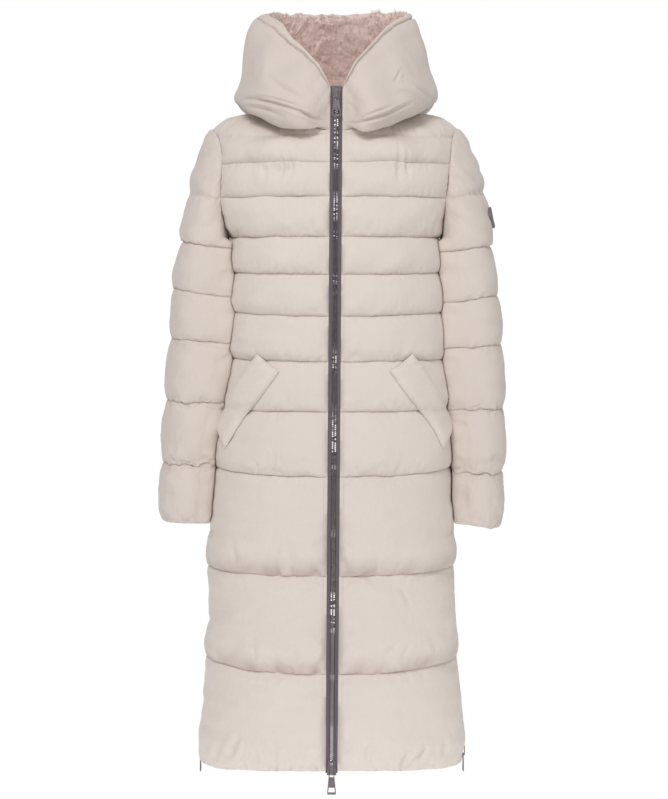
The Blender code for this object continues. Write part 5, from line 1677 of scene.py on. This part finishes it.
tooth = make_tooth()
teeth_tree = repeat_tree("zip_teeth", TEETH)
front_skin = skins["front_left"][:, 0]
hood_skin = hood_sheet(LEFT, np.array([0.0, 0.05]), np.linspace(0, 4, 60))[:, 0]
line = np.concatenate([front_skin, hood_skin[1:]])
line = line[np.argsort(line[:, 2])]
levels = np.linspace(ZIP_BOTTOM, ZIP_TOP, 260)
zip_centre = np.stack([zip_line(levels), np.interp(levels, line[:, 2], line[:, 1]), levels], axis=-1)
AHEAD = (0.0, -1.0, 0.0)
for side in (RIGHT, LEFT):
    name = side_name(side)
    sew_tape(
        "zip_weave_" + name, zip_centre, AHEAD, side, 6, "quilted_front_" + name,
        "zip_tape_" + name,
    )
chain = teeth_along("zip_teeth", zip_centre, AHEAD, BOTTOM_SLIDER_HIGH, TOP_SLIDER_LOW)
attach(chain, "coat")
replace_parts(chain, "zip_chain")
for node in ("zip_slider_top", "zip_slider_bottom", "zip_pull_top", "zip_pull_bottom"):
    dress(node, METAL)

# ---------------------------------------------------------------- side vent zips
# Each side seam ends in a short vent, closed by the same zip down to a slider at the hem. Its tapes and
# teeth follow the side seam and face straight outwards.
VENT_SLIDER_HIGH = -1024.0
for side in (RIGHT, LEFT):
    name = side_name(side)
    skin = skins["front_" + name][:, -1]
    skin = skin[(skin[:, 2] < VENT_OPEN + 1)].copy()
    skin[:, 1] = 0
    out = (float(side), 0.0, 0.0)
    for end, sign in (("front", -1), ("back", 1)):
        sew_tape(
            f"vent_weave_{end}_{name}", skin, out, sign * side, 5, "quilted_back",
            f"vent_tape_{end}_{name}",
        )
    chain = teeth_along("vent_teeth_" + name, skin, out, VENT_SLIDER_HIGH, VENT_OPEN)
    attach(chain, "coat")
    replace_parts(chain, "vent_chain_" + name)
    for node in ("vent_slider_" + name, "vent_pull_" + name):
        dress(node, METAL)
bpy.data.objects.remove(tooth)

# ---------------------------------------------------------------- pocket welts
# A slanted padded welt covers each hand pocket. Its lower inner edge is sewn down and its upper outer
# edge stays open, with a row of stitches inside the border.
WELT_APEX = (118.0, -378.0)
WELT_CORNER = (78.0, -406.0)
WELT_FOOT = (182.0, -529.0)
WELT_OUTER = (216.0, -499.0)
WELT_ROWS = 64
WELT_COLUMNS = 22
WELT_SMOOTHINGS = 60
WELT_PUFF = 6.5
WELT_WALL = 1.8
BORDER = 6.0


def clear_of(tree, points, out):
    """How far each point lies in front of a skin along one direction."""
    found = []
    for point, away in zip(points.reshape(-1, 3), out.reshape(-1, 3)):
        hit = tree.ray_cast(Vector(point + away * 30), Vector(-away), 80.0)
        found.append(30.0 if hit[0] is None else hit[3] - 30.0)
    return np.array(found).reshape(points.shape[:-1])


def skin_at(skin, level, arc):
    """The point of a front's skin at a height and at a distance round from its zip edge."""
    row = np.array([np.interp(level, skin[:, c, 2], np.arange(len(skin))) for c in range(skin.shape[1])])
    low = np.clip(row.astype(int), 0, len(skin) - 2)
    part = (row - low)[:, None]
    c = np.arange(skin.shape[1])
    ring = skin[low, c] * (1 - part) + skin[low + 1, c] * part
    along = lengths(ring[None], 1)[0]
    return np.array([np.interp(arc, along, ring[:, k]) for k in range(3)])


for side in (RIGHT, LEFT):
    name = side_name(side)
    grid, lift, _ = half_panel(FRONT_COLUMNS, side, "front")
    normals = panel_normals(grid)
    calm = (grid + normals * lift[..., None])[: -TOP_ROWS]
    for c in range(calm.shape[1]):
        calm[:, c] = calm[np.argsort(calm[:, c, 2]), c]
    rows = np.linspace(0, 1, WELT_ROWS)
    cols = np.linspace(0, 1, WELT_COLUMNS)
    points = np.zeros((len(rows), len(cols), 3))
    for i, s in enumerate(rows):
        for j, t in enumerate(cols):
            top = np.array(WELT_APEX) * (1 - t) + np.array(WELT_CORNER) * t
            bottom = np.array(WELT_OUTER) * (1 - t) + np.array(WELT_FOOT) * t
            arc, level = top * (1 - s) + bottom * s
            points[i, j] = skin_at(calm, level, arc)
    flat = points.copy()
    for _ in range(WELT_SMOOTHINGS):
        flat[1:-1] = (flat[:-2] + flat[2:]) / 2 * 0.5 + flat[1:-1] * 0.5
    lie = cross_normals(flat)
    lie = lie * np.sign(np.sum(lie[..., :2] * flat[..., :2]))
    tree = surface(skins["front_" + name])
    gap = clear_of(tree, flat, lie)
    base = flat + lie * (np.maximum(0.5 - gap, 0) + 0.6)[..., None]
    a = lengths(flat, 0)
    b = lengths(flat, 1)
    to_end = np.minimum(a, a[-1:] - a)
    to_fold = b
    to_sewn = b[:, -1:] - b
    puff = WELT_PUFF * dome(to_end, 12) * dome(to_fold + 1, 12) * dome(to_sewn, 14)
    sunk = puckers(a.T, to_sewn.T, 800 + side, spacing=9, reach=16, depth=1.0).T
    sunk += puckers(a.T, to_fold.T, 810 + side, spacing=12, reach=12, depth=0.7).T
    stitched = beside(to_fold - BORDER, 1.6) * dome(to_end, 10)
    face = base + lie * (WELT_WALL + puff - (sunk + stitched) * dome(to_end, 6))[..., None]
    uv = np.stack([b, a], axis=-1)
    welt = padded_wall("pocket_flap_" + name, face, base, uv, SHELL, thin=2)
    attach(welt, "coat")
    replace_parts(welt, "pocket_welt_" + name)

# ---------------------------------------------------------------- badge and side label
# A bare round badge of dark rubber, with a raised rim, sewn on the left upper sleeve, and a small
# folded cloth label caught in the left side seam. Neither carries any mark.
BADGE_PLACE = (258.0, -16.0, -158.0)
BADGE_FACING = (0.91, -0.31, 0.27)
BADGE_RADIUS = 18.5
LABEL_PLACE = (184.0, -30.0, -380.0)
LABEL_HEIGHT = 13.0


def rubber_finish():
    """Dull dark brown-grey rubber with a fine grain and a cloudy, a little worn tone."""
    rubber = Finish("badge_rubber", 0.5)
    place = rubber.node("ShaderNodeTexCoord", out=3)
    grain = rubber.noise(place, 900.0, 3.0)
    cloud = rubber.noise(place, 90.0, 2.0)
    colour = rubber.mix(cloud * 0.8 + grain * 0.2, linear(92, 82, 80), linear(132, 122, 120))
    return rubber.feed(Base_Color=colour, Normal=rubber.bump(grain, 0.0002, 0.5))


RUBBER = rubber_finish()
facing = np.array(BADGE_FACING) / np.linalg.norm(BADGE_FACING)
across = np.cross((0.0, 0.0, 1.0), facing)
up_way = np.cross(facing, across)
sleeve_tree = surface(np.concatenate([skins["sleeve_left"], skins["sleeve_left"][:, :1]], axis=1))
# From the middle outwards, as (share of the radius, height): a flat face, then the raised rim.
profile = [(0.45, 1.5), (0.80, 1.4), (0.84, 2.4), (0.92, 2.7), (0.98, 2.3), (1.0, 1.2), (1.0, 0.0)]
around = np.linspace(0, 2 * math.pi, 49)[:-1]
spots = []
for share, high in profile:
    ring = np.array(BADGE_PLACE) + BADGE_RADIUS * share * (
        across * np.cos(around)[:, None] + up_way * np.sin(around)[:, None]
    )
    away = np.broadcast_to(facing, ring.shape)
    ring = ring - facing * clear_of(sleeve_tree, ring, away)[:, None]
    spots.append((ring, high))
depths = np.array([ring @ facing for ring, _ in spots])
rings = []
for (ring, high), depth in zip(spots, depths):
    level = 0.35 * depths.max() + 0.65 * depth
    rings.append(ring + facing * (level - depth + high + 0.4)[:, None])
base_ring = spots[-1][0] + facing * 0.3
middle = np.mean(rings[0], axis=0)
under = np.mean(base_ring, axis=0)
verts = [middle] + [p for ring in rings for p in ring] + list(base_ring) + [under]
count = len(around)
faces = [(0, 1 + k, 1 + (k + 1) % count) for k in range(count)]
for r in range(len(rings)):
    for k in range(count):
        n = (k + 1) % count
        low, high = 1 + r * count, 1 + (r + 1) * count
        faces.append((low + k, high + k, high + n, low + n))
last = len(verts) - 1
first = 1 + len(rings) * count
faces += [(last, first + (k + 1) % count, first + k) for k in range(count)]
marks = [((p - middle) @ across, (p - middle) @ up_way) for p in verts]
badge = skin_object("badge_disc", faces, verts, marks, RUBBER, sharp=35)
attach(badge, "coat")
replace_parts(badge, "sleeve_badge")


def label_finish():
    """A pale satin-woven tab with a narrow darker edge."""
    label = Finish("label_cloth", 0.6, Sheen_Weight=0.2)
    thread = label.node("ShaderNodeUVMap", {"uv_map": "cloth"})
    rib = label.node("ShaderNodeTexWave", {"bands_direction": "Y"}, {"Vector": thread, "Scale": 500.0})
    high = label.node("ShaderNodeSeparateXYZ", {}, {0: thread}, out=1)
    edge = label.node(
        "ShaderNodeMapRange", {},
        {"Value": high.math("ABSOLUTE", high, 0.0), "From Min": 0.0045, "From Max": 0.0052},
    )
    colour = label.mix(edge, linear(232, 222, 220), linear(150, 134, 134))
    return label.feed(Base_Color=colour, Normal=label.bump(rib, 0.0002, 0.5))


LABEL = label_finish()
out = unit(np.array([1.0, -0.25, 0.0]))
across = np.cross((0.0, 0.0, 1.0), out)
front_tree = surface(skins["front_left"])
rows = np.linspace(-LABEL_HEIGHT / 2, LABEL_HEIGHT / 2, 14)
roots = np.array([np.array(LABEL_PLACE) + (0, 0, r) for r in rows])
away = np.broadcast_to(out, roots.shape)
roots = roots - out * (clear_of(front_tree, roots, away) + 0.4)[:, None]
# The folded tab's section from its root to its fold, as (sideways, outwards).
half = [(0.75, 0.0), (0.8, 1.2), (0.7, 2.4), (0.4, 3.1)]
loop = [(-a, b) for a, b in half] + [(0.0, 3.35)] + half[::-1]
face = np.array([[root + across * a + out * (b + 0.3) for a, b in loop] for root in roots])
middle = face.mean(axis=1, keepdims=True)
inner = face + unit(middle - face) * 0.45
uv = np.stack(np.broadcast_arrays(np.array([b for a, b in loop])[None], rows[:, None]), axis=-1)
label = padded_wall("seam_label", face, inner, uv, LABEL, thin=1)
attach(label, "coat")
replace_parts(label, "side_label")

# ---------------------------------------------------------------- quilting stitches
# Every level seam is one line of lockstitch in thread a shade deeper than the cloth. Each stitch is a
# small grain of thread, laid end to end along the seam by one Geometry Nodes tree.
STITCH_PITCH = 3.4
STITCH_RISE = 0.35
THREAD = Finish("seam_thread", 0.6, Sheen_Weight=0.2)
twist = THREAD.noise(THREAD.node("ShaderNodeTexCoord", out=3), 1400.0, 1.0)
THREAD.feed(Base_Color=THREAD.mix(twist, linear(188, 172, 162), linear(208, 194, 184)))


def make_stitch():
    """One stitch: a grain of thread 2.6 mm long, pointed where it dives into the cloth."""
    verts = [(-1.3, 0, 0), (1.3, 0, 0)]
    verts += [(0, 0.32 * math.cos(a), 0.26 * math.sin(a)) for a in np.arange(5) * 2 * math.pi / 5]
    faces = [(0, 2 + (k + 1) % 5, 2 + k) for k in range(5)] + [(1, 2 + k, 2 + (k + 1) % 5) for k in range(5)]
    mesh = bpy.data.meshes.new("stitch")
    mesh.from_pydata((np.array(verts) * MM).tolist(), [], faces)
    mesh.shade_smooth()
    return bpy.data.objects.new("stitch", mesh)


def stitch_places(line, above):
    """Places and turns of stitches along a line of points, lifted off the skin."""
    run = np.concatenate([[0], np.cumsum(np.linalg.norm(np.diff(line, axis=0), axis=1))])
    where = np.arange(STITCH_PITCH, run[-1] - STITCH_PITCH, STITCH_PITCH)
    spots = np.stack([np.interp(where, run, line[:, k]) for k in range(3)], axis=-1)
    ahead = np.stack([np.interp(where + 1.5, run, line[:, k]) for k in range(3)], axis=-1)
    lift = np.stack([np.interp(where, run, above[:, k]) for k in range(3)], axis=-1)
    turns = []
    for spot, tip, out in zip(spots, ahead, lift):
        x = Vector(tip - spot).normalized()
        z = Vector(out)
        z = (z - x * z.dot(x)).normalized()
        y = z.cross(x)
        turns.append(tuple(Matrix((x, y, z)).transposed().to_euler()))
    return spots + unit(lift) * STITCH_RISE, turns


stitch = make_stitch()
thread_tree = repeat_tree("stitches", THREAD.material)
for name, seam_rows in STITCHED.items():
    outer = skins[name]
    away = cross_normals(outer, around=name.startswith("sleeve"))
    centre = outer.reshape(-1, 3).mean(axis=0) * (1 if name.startswith("sleeve") else 0)
    away = away * np.sign(np.sum((away * (outer - centre))[..., :2]))
    places = []
    turns = []
    for row in seam_rows:
        line, above = outer[row], away[row]
        if name.startswith("sleeve"):
            line, above = np.concatenate([line, line[:1]]), np.concatenate([above, above[:1]])
        spots, angles = stitch_places(line, above)
        places += spots.tolist()
        turns += angles
    threads = repeated("stitches_" + name, stitch, places, turns, thread_tree)
    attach(threads, "coat")
bpy.data.objects.remove(stitch)

# ---------------------------------------------------------------- floor, light and camera
# A plain pale floor under the hanging coat, soft studio light from above and in front, and a long
# lens level with the chest. Sizes are in metres.
FLOOR_LEVEL = -1.4
FLOOR_REACH = 1.1
AMBIENT = 0.52
ground = bpy.data.meshes.new("floor")
corners = [(x * FLOOR_REACH, y * FLOOR_REACH, FLOOR_LEVEL) for x, y in ((-1, -1), (1, -1), (1, 1), (-1, 1))]
ground.from_pydata(corners, [], [(0, 1, 2, 3)])
floor = bpy.data.objects.new("floor", ground)
bpy.context.scene.collection.objects.link(floor)
pale = Finish("floor", 0.9)
pale.shader.inputs["Base Color"].default_value = (0.95, 0.95, 0.95, 1)
pale.shader.inputs["Emission Color"].default_value = (1, 1, 1, 1)
pale.shader.inputs["Emission Strength"].default_value = AMBIENT
ground.materials.append(pale.material)


def soft_light(name, place, size, power, aim=(0, 0, -0.45)):
    """A round soft light at a place, aimed at the middle of the coat."""
    light = bpy.data.lights.new(name, "AREA")
    light.shape = "DISK"
    light.size = size
    light.energy = power
    lamp = bpy.data.objects.new(name, light)
    bpy.context.scene.collection.objects.link(lamp)
    lamp.location = place
    lamp.rotation_euler = (Vector(aim) - Vector(place)).to_track_quat("-Z", "Y").to_euler()


soft_light("key", (-0.8, -2.9, 1.9), 1.3, 58)
soft_light("fill", (2.2, -3.0, 0.3), 2.0, 17)

world = bpy.data.worlds.new("studio")
bpy.context.scene.world = world
world.use_nodes = True
backdrop = world.node_tree
air = backdrop.nodes["Background"]
shown = backdrop.nodes.new("ShaderNodeBackground")
shown.inputs["Color"].default_value = (1, 1, 1, 1)
shown.inputs["Strength"].default_value = 1.0
air.inputs["Color"].default_value = (1, 1, 1, 1)
air.inputs["Strength"].default_value = AMBIENT
path = backdrop.nodes.new("ShaderNodeLightPath")
choose = backdrop.nodes.new("ShaderNodeMixShader")
backdrop.links.new(path.outputs["Is Camera Ray"], choose.inputs[0])
backdrop.links.new(air.outputs[0], choose.inputs[1])
backdrop.links.new(shown.outputs[0], choose.inputs[2])
backdrop.links.new(choose.outputs[0], backdrop.nodes["World Output"].inputs["Surface"])

lens = bpy.data.cameras.new("camera")
lens.lens = 81.9
lens.sensor_width = 36.0
lens.shift_y = -0.143
camera = bpy.data.objects.new("camera", lens)
camera.location = (0.0, -3.0, -0.269)
camera.rotation_euler = (math.pi / 2, 0.0, 0.0)
bpy.context.scene.collection.objects.link(camera)
bpy.context.scene.camera = camera
bpy.context.scene.view_settings.view_transform = "Standard"
